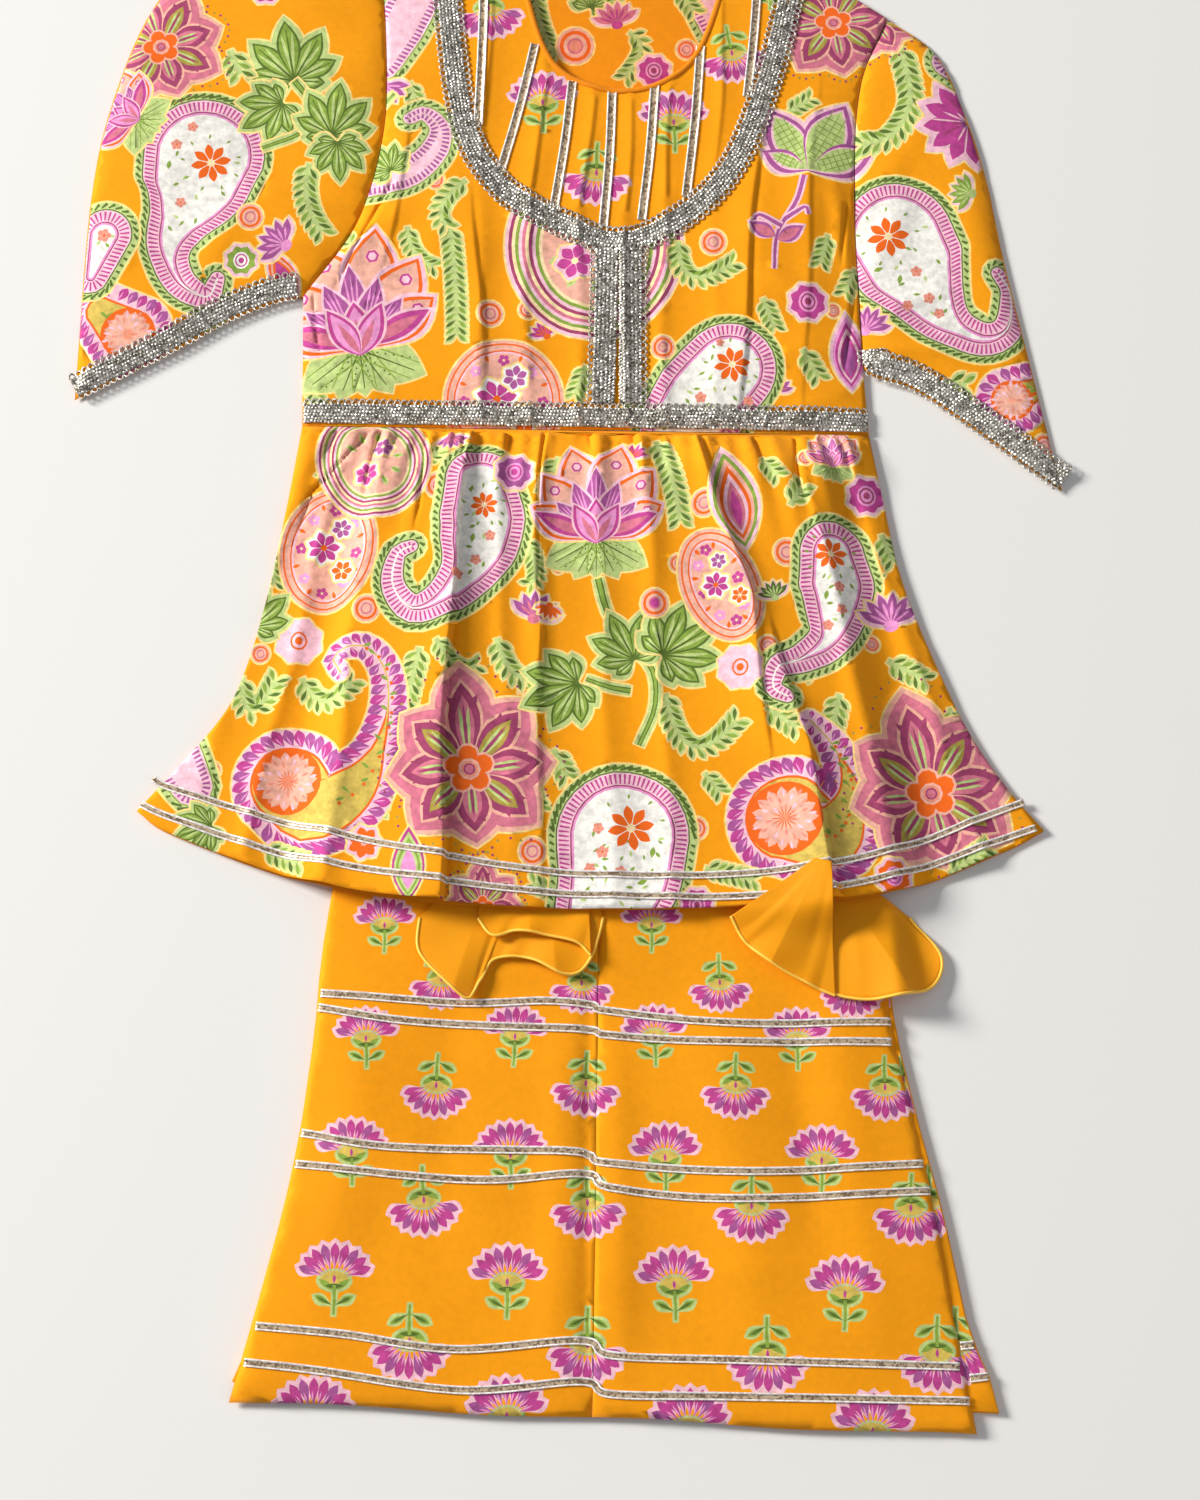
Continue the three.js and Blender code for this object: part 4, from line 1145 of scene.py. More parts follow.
def medallion(stamp, wide, tall):
    """An oval plate ringed in orange, with pink and orange flowers scattered in it."""
    stamp.edge("blush", disc(0, 0, wide + 1.6, tall + 1.6, 36))
    for ink, inset in (("blush", -1.6), ("orange", 0.0), ("blush", 0.9), ("orange", 3.6), ("pale_pink", 4.4),
                       ("blush", 5.4)):
        stamp.ink(ink, disc(0, 0, wide - inset, tall - inset, 36))
    for k in range(16):
        spot = around(0, 0, 22.5 * k, wide - 9, tall - 9)
        if k % 2:
            stamp.ink("orange", petal(*spot, 22.5 * k, 4.2, 2.0, 1.3, 4))
        else:
            flower(stamp, *spot, 3.2, 5, "pink" if k % 4 else "magenta", "cream", 0.8, 30 * k)
    flower(stamp, -0.12 * wide, 0.05 * tall, 0.36 * wide, 7, "magenta", "orange", 0.5, 12, "white")
    flower(stamp, 0.36 * wide, -0.3 * tall, 0.24 * wide, 6, "orange", "cream", 0.6, 0, "white")
    flower(stamp, 0.2 * wide, 0.42 * tall, 0.22 * wide, 6, "violet", "white", 0.6, 20, "white")


def circlet(stamp, x, y, size=1.0, centre="blush"):
    stamp.edge("blush", disc(x, y, 6.6 * size, 7.1 * size, 14))
    for ink, radius in (("orange", 5.5), ("blush", 4.2), ("mauve", 2.9), (centre, 2.1)):
        stamp.ink(ink, disc(x, y, radius * size, radius * size * 1.08, 14))


def rosette(stamp, x, y, size, inks=("magenta", "pink", "plum")):
    flower(stamp, x, y, 10 * size, 8, inks[0], inks[0], 0.72, 22, "pale_pink")
    for ink, radius in ((inks[0], 6.4), (inks[1], 5.2), (inks[2], 4.1), (inks[1], 3.2), (inks[2], 1.8)):
        stamp.ink(ink, disc(x, y, radius * size, radius * size * 1.12, 12))


def tulip(stamp):
    """A tall open tulip, outlined in magenta with a green check in its petals, on a curled stem."""
    for points in ([(-4, -12), (-8, -26), (-18, -44), (-20, -64)], [(-16, -40), (-28, -34), (-30, -44)],
                   [(-14, -36), (-4, -30), (-2, -34)]):
        stamp.ink("pale_pink", stroke(points, 4.4, 3.4, 14))
        stamp.ink("violet", stroke(points, 2.2, 1.4, 14))
    for turn, x, y in ((150, -19, -46), (30, -18, -48)):
        stamp.ink("pale_pink", petal(x, y, turn, 17, 10.5, 0.9))
        stamp.ink("violet", petal(x, y, turn, 15.5, 8.4, 0.9))
        stamp.ink("mauve", petal(x, y, turn, 13.5, 5.4, 0.9))
    cups = ((118, 40, 21), (62, 44, 25), (22, 38, 19), (152, 26, 13))
    for turn, long, wide in cups:
        stamp.edge("pale_pink", petal(-2, -10, turn, long + 2, wide + 4.4, 1.1, 9))
    for turn, long, wide in cups:
        stamp.ink("violet", petal(-2, -10, turn, long, wide, 1.1, 9))
        stamp.ink("pale_pink", petal(-2, -9.4, turn, long - 3.2, wide - 4.2, 1.1, 9))
        stamp.ink("leaf_pale", petal(-2, -9, turn, long - 5, wide - 6.4, 1.1, 9))
        end = math.radians(turn)
        c, s = math.cos(end), math.sin(end)
        for k in range(2, int(long / 3.2) - 2):
            half = 0.36 * wide * math.sin(math.pi * (k * 3.2 / long) ** 1.1) * 0.8
            middle = (-2 + 3.2 * k * c, -9 + 3.2 * k * s)
            a, b = (middle[0] - s * half, middle[1] + c * half), (middle[0] + s * half, middle[1] - c * half)
            stamp.ink("leaf", stroke([a, b], 0.6, 0.6, 3))
        for side in (-0.16, 0, 0.16):
            a = (-2 + 8 * c - s * side * wide, -9 + 8 * s + c * side * wide)
            b = (a[0] + (long - 15) * c, a[1] + (long - 15) * s)
            stamp.ink("leaf", stroke([a, b], 0.6, 0.5, 3))


def flame(stamp, inks=("pale_pink", "leaf", "blush", "orange", "pale_pink", "mauve", "magenta")):
    """A bud of nested outlines, one in another, standing up from its foot."""
    stamp.edge(inks[0], petal(0, 0, 90, 62, 27, 0.9, 10))
    for k, ink in enumerate(inks):
        stamp.ink(ink, petal(0, 2.4 * k, 90, 62 - 6.8 * k, 27 - 3.6 * k, 0.9, 10))


def fan(stamp, inks=("pink", "violet")):
    for turn in (-60, -36, -12, 12, 36, 60):
        stamp.edge("pale_pink", petal(0, -1, 90 + turn, 17, 6.4, 1.4))
    for turn in (-60, -36, -12, 12, 36, 60):
        stamp.ink(inks[1], petal(0, 0, 90 + turn, 15.2, 4.2, 1.5))
        stamp.ink(inks[0], petal(0, 1, 90 + turn, 10.5, 1.5, 1.4, 4))
    stamp.ink(inks[0], disc(0, 0, 3.4, 2.6, 10))


def arch(stamp):
    """Concentric arches of fine bands, with small flowers in the middle."""
    bands = ("pale_pink", "plum", "cream", "leaf", "pale_pink", "mauve", "cream", "plum", "pale_pink", "leaf",
             "cream", "blush")
    stamp.edge(bands[0], disc(0, 0, 46, 52, 44))
    for k, ink in enumerate(bands):
        stamp.ink(ink, disc(0, 0, 46 - 1.75 * k, 52 - 1.75 * k, 44))
    for k in range(9):
        spot = around(0, 0, 200 + 36 * k, 15, 18)
        stamp.ink("leaf_pale", petal(*spot, 200 + 36 * k, 10, 5, 1.1, 5))
        stamp.ink("leaf", petal(*spot, 200 + 36 * k, 8, 2.2, 1.1, 4))
    flower(stamp, -10, -9, 9.5, 6, "magenta", "cream", 0.62, 12, "pale_pink")
    flower(stamp, 11, 6, 8, 6, "violet", "cream", 0.62, 40, "pale_pink")


paisley_cotton = cotton("paisley_cotton", (1.0, 0.99, 0.94), 4.1)

body_print = []
cloth = Stamp(body_print, 0, 0)
for course in ([(-84, 236), (-80, 222), (-70, 214)], [(-131, 152), (-128, 138)], [(8, 160), (2, 144)],
               [(98, 196), (104, 180)], [(132, 232), (128, 216)], [(-84, 318), (-80, 304)],
               [(112, 300), (124, 308)], [(-112, 226), (-120, 236)], [(34, 150), (30, 134)],
               [(146, 214), (140, 200)]):
    garland(cloth, course, 5.8)
for x, y, size in ((-22, 190, 0.7), (96, 236, 0.7), (-76, 186, 0.6), (134, 190, 0.55), (-70, 262, 0.7)):
    circlet(cloth, x, y, size)
fan(Stamp(body_print, -12, 176, 24, 0.6), ("orange", "magenta"))
fan(Stamp(body_print, 104, 146, -16, 0.6), ("mauve", "violet"))
rosette(cloth, 92, 312, 0.7, ("violet", "pink", "plum"))
arch(Stamp(body_print, 12, 226))
lotus(Stamp(body_print, -107, 166, 8, 1.08))
medallion(Stamp(body_print, -34, 141, 0), 29, 31)
paisley(cloth, [(80, 158), (70, 146), (58, 128), (48, 108)], (24, 25, 23, 15),
        [(82, 160, 9.5), (66, 143, 3.2), (72, 134, 3), (90, 141, 3), (76, 172, 2.4), (61, 132, 3)])
curl(cloth, [(-112, 262), (-86, 266), (-72, 277), (-68, 291), (-76, 300), (-84, 297)], (8, 9, 8, 7, 4.5, 3))
curl(cloth, [(-82, 366), (-91, 347), (-99, 331)], (13, 13, 11))
star_flower(cloth, 137, 352, 34, 10)
tulip(Stamp(body_print, 124, 276, 0, 1.0))
for course in ([(-62, 235), (-59, 205), (-58, 176)], [(55, 228), (62, 209), (83, 215)],
               [(118, 168), (126, 154)], [(-54, 262), (-66, 248), (-64, 236)], [(-134, 236), (-128, 226)]):
    garland(cloth, course, 6.4)
rosette(cloth, 121, 194, 0.95)
for x, y, size in ((-41, 188, 1), (73, 227, 1), (47, 170, 0.9)):
    circlet(cloth, x, y, size)
flame(Stamp(body_print, 143, 146, 4, 0.72),
      ("pale_pink", "pink", "magenta", "pale_pink", "magenta", "violet"))
fan(Stamp(body_print, -98, 318, 200, 0.9))
circlet(cloth, -60, 319, 0.8)
vine(cloth, [(-112, 291), (-104, 299), (-92, 312)], 2.4)
for x, y, turn in ((-118, 286, 70), (-93, 268, 120)):
    vine_leaf(cloth, x, y, turn, 0.62)

yoke_print = []
for x, y, turn, size in ((-43, 357, 186, 1.05), (-15, 308, 2, 1.05), (13, 264, 178, 1.05), (53, 297, 2, 1.05),
                         (84, 332, 190, 1.0), (-52, 402, 4, 1.0), (104, 378, 0, 1.0)):
    sprig_flower(Stamp(yoke_print, x, y, turn, size))

left_sleeve_print = []
cloth = Stamp(left_sleeve_print, 0, 0)
paisley(cloth, [(-190, 276), (-196, 252), (-206, 226), (-200, 206), (-186, 198), (-181, 208)],
        (31, 27, 15, 9, 7, 3.5),
        [(-186, 272, 10.5), (-204, 282, 3.2), (-208, 268, 3), (-201, 250, 3), (-196, 292, 3)])
vine_leaf(cloth, -144, 318, 100, 1.25)
vine_leaf(cloth, -150, 306, 215, 0.9)
vine(cloth, [(-144, 318), (-136, 306), (-139, 290), (-160, 281)])
vine(cloth, [(-139, 290), (-122, 286), (-108, 290)], 3.6)
vine_leaf(cloth, -124, 288, 82, 1.05)
vine_leaf(cloth, -121, 284, 275, 0.8)
garland(cloth, [(-135, 272), (-136, 252), (-128, 234)], 7.2)
garland(cloth, [(-178, 336), (-172, 322)], 8)
garland(cloth, [(-187, 181), (-176, 186)], 8)
star_flower(cloth, -214, 338, 34, 20)
flame(Stamp(left_sleeve_print, -140, 196, 28, 0.55), ("pale_pink", "orange", "blush", "orange", "magenta"))
fan(Stamp(left_sleeve_print, -146, 226, 60, 1.0))
sunflower_paisley(cloth, [(-226, 178), (-240, 190)], (22, 16), (-226, 178))
circlet(cloth, -165, 242)
rosette(cloth, -169, 218, 0.8, ("leaf", "white", "magenta"))
rosette(cloth, -160, 372, 0.9)
garland(cloth, [(-128, 372), (-112, 384)], 7.4)
lotus(Stamp(left_sleeve_print, -224, 296, 60, 0.6))
paisley(cloth, [(-240, 232), (-246, 210)], (14, 9), [(-240, 232, 4)])

right_sleeve_print = []
cloth = Stamp(right_sleeve_print, 0, 0)
paisley(cloth, [(167, 231), (178, 207), (192, 185), (210, 175), (223, 181), (225, 201), (219, 211)],
        (29, 28, 18, 10, 8, 6, 3.5),
        [(163, 231, 11), (177, 212, 3.2), (168, 205, 3.2), (172, 193, 3), (183, 197, 3.2), (160, 214, 3),
         (188, 189, 3)])
tulip(Stamp(right_sleeve_print, 124, 276, 0, 1.0))
garland(cloth, [(172, 338), (176, 308), (166, 288), (150, 283)], 7.8)
flower(cloth, 206, 296, 24, 12, "magenta", "violet", 0.36, 8, "pale_pink")
for k in range(18):
    ray = petal(206, 296, GOLDEN_ANGLE * k, 7 + 0.8 * k, 1.1, 1.6, 5)
    cloth.ink("pale_pink" if k % 2 else "plum", ray)
star_flower(cloth, 158, 356, 26, 30)
fan(Stamp(right_sleeve_print, 207, 255, 80, 0.8), ("leaf_pale", "leaf"))
garland(cloth, [(190, 152), (201, 150)], 8)
sunflower_paisley(cloth, [(224, 142), (238, 150)], (17, 13), (224, 142))
circlet(cloth, 240, 118, 0.9)
rosette(cloth, 232, 232, 0.8)
curl(cloth, [(196, 330), (206, 322)], (8, 6))
fan(Stamp(right_sleeve_print, 150, 180, -20, 0.9))

peplum_print = []
cloth = Stamp(peplum_print, 0, 0)
for course in ([(-6, 108), (-12, 90)], [(-22, 64), (-17, 48), (-20, 40)], [(-150, 62), (-148, 44)],
               [(96, 108), (104, 98)], [(54, 14), (62, 6)], [(-66, 10), (-56, -2), (-46, -2)],
               [(146, 36), (152, 48)], [(66, -56), (74, -66)], [(-20, -62), (-14, -74)],
               [(-186, -62), (-178, -74)], [(112, 6), (120, -6)], [(-112, 96), (-124, 104)],
               [(-2, -118), (-18, -112)], [(188, -20), (192, -34)], [(-74, 104), (-66, 112)]):
    garland(cloth, course, 5.6)
for x, y, size in ((-27, 58, 0.7), (54, 52, 0.7), (-154, 8, 0.7), (98, 8, 0.75), (62, -84, 0.8),
                   (-2, -88, 0.7), (150, 12, 0.6), (-176, -52, 0.6), (-90, -18, 0.7), (118, 108, 0.6),
                   (-6, 50, 0.5), (170, -20, 0.6)):
    circlet(cloth, x, y, size)
fan(Stamp(peplum_print, -60, 122, 190, 0.6), ("mauve", "violet"))
fan(Stamp(peplum_print, 30, 108, -20, 0.6), ("orange", "magenta"))
fan(Stamp(peplum_print, -20, -10, 200, 0.5), ("orange", "orange"))
for course in ([(-36, 12), (-27, -6), (-11, -8)], [(-163, -4), (-158, -21), (-146, -6)],
               [(-133, -5), (-121, -18), (-107, -10)], [(-74, 6), (-80, -22)], [(-91, -62), (-94, -76)],
               [(-8, -44), (-1, -58)], [(47, -16), (60, -42), (82, -30)], [(97, -24), (111, -35)],
               [(133, -16), (128, -40)], [(158, 4), (176, -6)], [(145, -72), (153, -87)],
               [(43, 119), (51, 97), (55, 74)], [(156, 70), (162, 56)], [(110, 82), (116, 92)]):
    garland(cloth, course, 6.8)
for x, y in ((-101, 28), (-18, -96), (67, 83), (108, 58), (-66, 92)):
    circlet(cloth, x, y)
paisley(cloth, [(-45, 94), (-44, 70), (-50, 48), (-63, 32), (-78, 27), (-88, 40), (-86, 56), (-79, 60)],
        (17, 21, 19, 12, 8.5, 6.5, 5, 3),
        [(-43, 82, 7), (-40, 66, 3), (-49, 62, 3), (-47, 53, 3), (-56, 45, 3)])
sunflower_paisley(cloth, [(-138, -60), (-124, -74), (-103, -62), (-91, -36), (-90, -8), (-101, 8),
                          (-117, 5), (-113, -5)], (27, 24, 19, 11, 8, 6.5, 5, 3), (-139, -58))
star_flower(cloth, -49, -55, 43, 6)
lotus(Stamp(peplum_print, 13, 62, 0, 0.86))
vine(cloth, [(14, 44), (18, 28), (26, 12), (40, -2), (42, -22), (34, -42)], 3.6)
vine(cloth, [(30, -14), (18, -12), (8, -8)])
for x, y, turn, size in ((32, 2, 118, 0.95), (46, 4, 32, 1.15), (4, -10, 205, 1.05)):
    vine_leaf(cloth, x, y, turn, size)
medallion(Stamp(peplum_print, -121, 61, -8), 23, 31)
medallion(Stamp(peplum_print, 75, 40, 22), 18, 29)
paisley(cloth, [(131, 58), (133, 36), (129, 14), (116, 3), (103, -3), (100, -14), (107, -19)],
        (16, 19, 15, 10, 7, 5, 3), [(130, 57, 8.5), (134, 40, 3), (127, 33, 3), (135, 28, 3), (128, 20, 3)])
paisley(cloth, [(26, -88), (24, -108), (16, -130)], (32, 30, 24),
        [(30, -84, 11.5), (16, -96, 3.4), (40, -99, 3.4), (14, -84, 3), (25, -106, 3.2), (38, -110, 3.2),
         (10, -104, 3)])
sunflower_paisley(cloth, [(107, -80), (127, -88), (137, -66), (130, -44), (118, -30)], (29, 24, 14, 8, 4),
                  (105, -80))
star_flower(cloth, 178, -64, 44, 14)
arch(Stamp(peplum_print, -99, 108, 24, 0.62))
flame(Stamp(peplum_print, 88, 58, 12, 0.95))
lotus(Stamp(peplum_print, 132, 104, 0, 0.36))
circlet(cloth, 42, 31, 1.05, "magenta")
rosette(cloth, -135, 14, 1.05, ("pale_pink", "pale_pink", "orange"))
rosette(cloth, 84, -3, 1.0, ("pale_pink", "pale_pink", "orange"))
rosette(cloth, 149, 90, 0.95)
rosette(cloth, -28, 100, 0.9, ("violet", "pink", "magenta"))
for x, y, turn, size, inks in ((160, 22, 8, 1.15, ("pink", "violet")),
                               (-18, 22, -16, 0.95, ("mauve", "violet")),
                               (-152, 96, 12, 0.9, ("orange", "magenta")),
                               (102, 34, 20, 0.6, ("leaf_pale", "leaf_dark")),
                               (-10, 30, 170, 0.5, ("orange", "orange"))):
    fan(Stamp(peplum_print, x, y, turn, size), inks)
curl(cloth, [(-196, -42), (-186, -60)], (13, 10))
vine_leaf(cloth, -158, 22, 80, 0.9)
flame(Stamp(peplum_print, -78, -122, 0, 0.6), ("magenta", "leaf_pale", "leaf", "leaf_pale", "pink"))
flower(cloth, -100, -92, 8, 7, "orange", "blush", 0.6, 0, "pale_pink")
star_flower(cloth, -42, -124, 20, 0)
rosette(cloth, 62, -122, 0.8)
garland(cloth, [(66, -104), (90, -110)], 6)
garland(cloth, [(-150, -92), (-132, -100)], 6.6)
vine_leaf(cloth, -176, -80, 200, 0.7)
rosette(cloth, 158, -108, 0.85, ("orange", "pink", "magenta"))
garland(cloth, [(186, -104), (204, -92)], 6.4)

# ------------------------------
# The kurta's bodice: a flat back and front, and a plainer yoke let into the front under the
# neck. The cloth puckers softly from the underarms and the armhole seams.
NECK_LEFT, NECK_RIGHT = (-33, 422), (82, 409)
TIP_LEFT, TIP_RIGHT = (-102, 402), (165, 355)
UNDERARM_LEFT, UNDERARM_RIGHT = (-137, 199), (148, 172)
WAIST_LEFT, WAIST_RIGHT = (-136, 129), (151, 124)
ARMHOLE_LEFT = smooth([TIP_LEFT, (-97, 350), (-97, 293), (-110, 240), UNDERARM_LEFT], 40)
ARMHOLE_RIGHT = smooth([TIP_RIGHT, (150, 315), (146, 253), UNDERARM_RIGHT], 40)
YOKE_SEAM = smooth([(-66, 412.4), (-64, 355), (-55, 293), (-39, 262), (-15, 244), (25, 228), (60, 244),
                    (85, 273), (104, 325), (118, 385.6)], 80)
NECK_FRONT = smooth([NECK_LEFT, (-22, 367), (-7, 328), (27, 314), (59, 328), (76, 367), NECK_RIGHT], 50)
NECK_BACK = smooth([NECK_LEFT, (-6, 385), (25, 374), (57, 378), NECK_RIGHT], 40)


def run(start, end, count=12):
    return smooth([start, end], count)


below_neck = np.vstack([ARMHOLE_LEFT[:-1], run(UNDERARM_LEFT, WAIST_LEFT)[:-1],
                        run(WAIST_LEFT, WAIST_RIGHT, 40)[:-1], run(WAIST_RIGHT, UNDERARM_RIGHT)[:-1],
                        ARMHOLE_RIGHT[::-1]])
body_outline = np.vstack([below_neck, run(TIP_RIGHT, TIP_LEFT, 30)[1:-1]])
front_outline = np.vstack([below_neck, YOKE_SEAM[::-1]])
yoke_outline = np.vstack([YOKE_SEAM, NECK_FRONT[::-1]])
back_outline = np.vstack([below_neck, NECK_BACK[::-1]])
BODICE_CREASES = [
    (-136, 205, -84, 250, 6, 1.6),
    (-134, 190, -70, 196, 5, 1.2),
    (-132, 212, -104, 292, 4, 1.3),
    (-98, 250, -60, 226, 8, 1.0),
    (-128, 170, -90, 140, 6, 1.0),
    (146, 182, 92, 214, 6, 1.5),
    (147, 190, 132, 280, 4, 1.3),
    (144, 170, 96, 168, 6, 1.1),
    (146, 150, 108, 132, 5, 0.9),
    (-20, 215, -34, 150, 10, 0.7),
    (98, 260, 106, 150, 14, 1.2),
    (-60, 300, -70, 180, 14, 1.2),
    (126, 300, 118, 220, 9, 0.9),
]


def rise(t):
    t = np.clip(t, 0, 1)
    return t * t * (3 - 2 * t)


def beside_course(points, course):
    """How far to the right of a course running down the cloth each point lies."""
    rows = np.array(course, float)
    x, y = points.T
    return x - np.interp(-y, -rows[:, 1], rows[:, 0]) - 1.1 * np.sin(y / 19 + rows[0, 0])


def fold_points(course, steps, offsets):
    """Points set close along a fold, so that the cloth can turn sharply there."""
    y = np.linspace(course[0][1], course[-1][1], steps)
    level = np.column_stack([np.zeros(steps), y])
    crest = -beside_course(level, course)
    return np.vstack([np.column_stack([crest + offset, y]) for offset in offsets])


def long_folds(points, folds, grow):
    """Long folds, each rising softly from the left and dropping away more sharply at its crest."""
    lift = np.zeros(len(points))
    for course, left, right, drop in folds:
        away = beside_course(points, course)
        rows = np.array(course, float)
        share = np.abs(away) / (np.where(away < 0, left, right) * grow)
        shape = np.exp(-(np.sqrt(share ** 2 + 0.003) - 0.05) ** 1.2 * 1.6) * (1 - drop * rise(away / 2.2))
        shape -= 0.3 * drop * np.exp(-((away - 2.3) / 0.9) ** 2)
        lift += np.interp(-points[:, 1], -rows[:, 1], rows[:, 2]) * shape
    return lift


def pinched(points, pinches):
    """Fine pleats drawn in at a seam, fading along their courses."""
    lift = np.zeros(len(points))
    for course, depth in pinches:
        away = beside_course(points, course)
        down = (course[0][1] - points[:, 1]) / (course[0][1] - course[-1][1])
        fade = rise((1 - down) / 0.5) * rise(down * 12 + 0.5)
        lift += fade * (0.8 * np.exp(-((np.abs(away) - 3.2) / 2) ** 2) - depth * np.exp(-(away / 0.9) ** 2))
    return lift


def crease_grid(folds, pinches):
    """Closer points along every sharp fold and fine pleat."""
    sharp = [course for course, _, _, drop in folds if drop > 0.2]
    runs = [fold_points(course, 90, (-2.4, -0.9, 0, 0.8, 1.7, 2.7, 4.0)) for course in sharp]
    for course, _ in pinches:
        steps = int((course[0][1] - course[-1][1]) / 1.8)
        runs.append(fold_points(course, steps, (-2.6, -1.3, -0.6, 0, 0.6, 1.3, 2.6)))
    found = np.vstack(runs)
    cells = np.unique(np.round(found / 0.6).astype(int), axis=0, return_index=True)[1]
    return found[np.sort(cells)]


BODICE_FOLDS = [
    # the crest's course as x, y and height; half width left and right; share of it in a sharp drop
    ([(99, 312, 0.0), (95, 262, 3.4), (89, 193, 4.4), (86, 150, 2.6), (85, 132, 1.2)], 26, 34, 0.4),
    ([(-52, 262, 0.0), (-49, 228, 2.6), (-46, 176, 3.0), (-44, 142, 1.2)], 22, 14, 0.4),
    ([(129, 330, 0.0), (124, 268, 2.4), (120, 200, 2.4), (118, 140, 1.0)], 14, 16, 0.25),
    ([(-86, 330, 0.0), (-84, 286, 2.2), (-92, 240, 2.4), (-104, 190, 0.0)], 14, 16, 0.3),
    ([(-12, 318, 1.4), (-22, 258, 2.0)], 8, 9, 0.4),
    ([(11, 308, 1.4), (5, 248, 2.0)], 7, 8, 0.4),
    ([(31, 306, 1.2), (28, 246, 1.8)], 6, 9, 0.4),
    ([(52, 314, 1.2), (48, 254, 2.0)], 7, 9, 0.4),
    ([(-42, 400, 1.0), (-44, 320, 1.8), (-46, 292, 1.0)], 7, 7, 0.3),
    ([(80, 370, 1.0), (78, 320, 1.8), (74, 272, 1.0)], 7, 8, 0.3),
]
BODICE_PINCHES = [
    ([(146.5, 204), (139, 150)], 1.7),
    ([(143, 250), (139, 212)], 1.3),
    ([(-92, 262), (-112, 226), (-124, 196)], 1.6),
    ([(-131, 200), (-127, 158)], 1.4),
]


def bodice_height(points):
    """The front lies on the back, a little full, drawn down where it is seamed."""
    edge = distance_inside(points, body_outline)
    neck = distance_inside(points, NECK_FRONT[3:-3])
    full = 1.2 * (1 - np.exp(-edge / 5)) + 1.5 * (1 - np.exp(-edge / 24))
    full *= 1 - 0.45 * np.exp(-neck / 9)
    free = 1 - np.exp(-(edge / 4) ** 2)
    folds = long_folds(points, BODICE_FOLDS, 1.0) + pinched(points, BODICE_PINCHES)
    return 1.9 + full + free * (creases(points, BODICE_CREASES) + folds) + ripple(points, 5, 55, 0.8)


back_print = moved(body_print, -6, -4, True)
cloth = Stamp(back_print, 0, 0)
for course in ([(-19, 372), (-16, 352), (-8, 334)], [(30, 348), (36, 338), (28, 322)],
               [(56, 372), (64, 360)]):
    garland(cloth, course, 6.2)
circlet(cloth, 2, 340, 1.5, "salmon")
circlet(cloth, 60, 338, 0.8)
vine_leaf(cloth, 10, 362, 60, 0.8)
fan(Stamp(back_print, 24, 352, 12, 0.9), ("magenta", "mauve"))
rosette(cloth, 43, 326, 0.85, ("magenta", "pink", "plum"))
# The inside faces (the back panel seen through the neck, the back binding and the peplum's back) take a
# darker, browner tint: partly the duller wrong side of the print, partly painted shade inside the neck and
# under the peplum.
inside_painted_shade_cotton = cotton("inside_cotton_painted_shade", (0.93, 0.78, 0.66), 7.7)
bodice_back = cut_cloth("bodice_back_panel", back_outline, back_print,
                        lambda p: 0.75 + 0.25 * (1 - np.exp(-distance_inside(p, back_outline) / 6)),
                        inside_painted_shade_cotton, 7.0)
bodice_grid = crease_grid(BODICE_FOLDS, BODICE_PINCHES)
bodice_front = cut_cloth("bodice_front_panel", front_outline, body_print, bodice_height, paisley_cotton, 3.6,
                         extra=bodice_grid)
yoke = cut_cloth("yoke_panel", yoke_outline, yoke_print, bodice_height, sprig_cotton, 3.0, extra=bodice_grid)
own(bodice_back, "paisley_print", "bodice_back")
own(bodice_front, "paisley_print", "bodice_front")
own(yoke, "sprig_print", "yoke")


def bound_edge(name, line, height, width, material, shade):
    """A narrow folded binding sewn along an edge, rounded over."""
    half = width / 2
    section = [(half, 0.0), (half, 0.5), (half * 0.6, 0.95), (0, 1.1), (-half * 0.6, 0.95), (-half, 0.5),
               (-half, 0.0)]
    piece = sweep(name, line, [height(line)] * len(section), section, material)
    printed_plain(piece, shade)
    return piece


def beside(line, away):
    return line + normals_of(line) * away


binding_front = bound_edge("neck_binding_front_fold", beside(NECK_FRONT, -1.6)[2:-2], bodice_height, 2.8,
                           sprig_cotton, "thread")
# The back binding is the same thread-coloured cloth as the front one, darkened by the inside tint as painted
# shade.
binding_back = bound_edge("neck_binding_back_fold", beside(NECK_BACK, -1.6)[10:-10],
                          lambda p: 1.2 + 0 * p[:, 0], 2.8, inside_painted_shade_cotton, "thread")
own(binding_front, "paisley_print", "neck_binding_front")
own(binding_back, "paisley_print", "neck_binding_back")

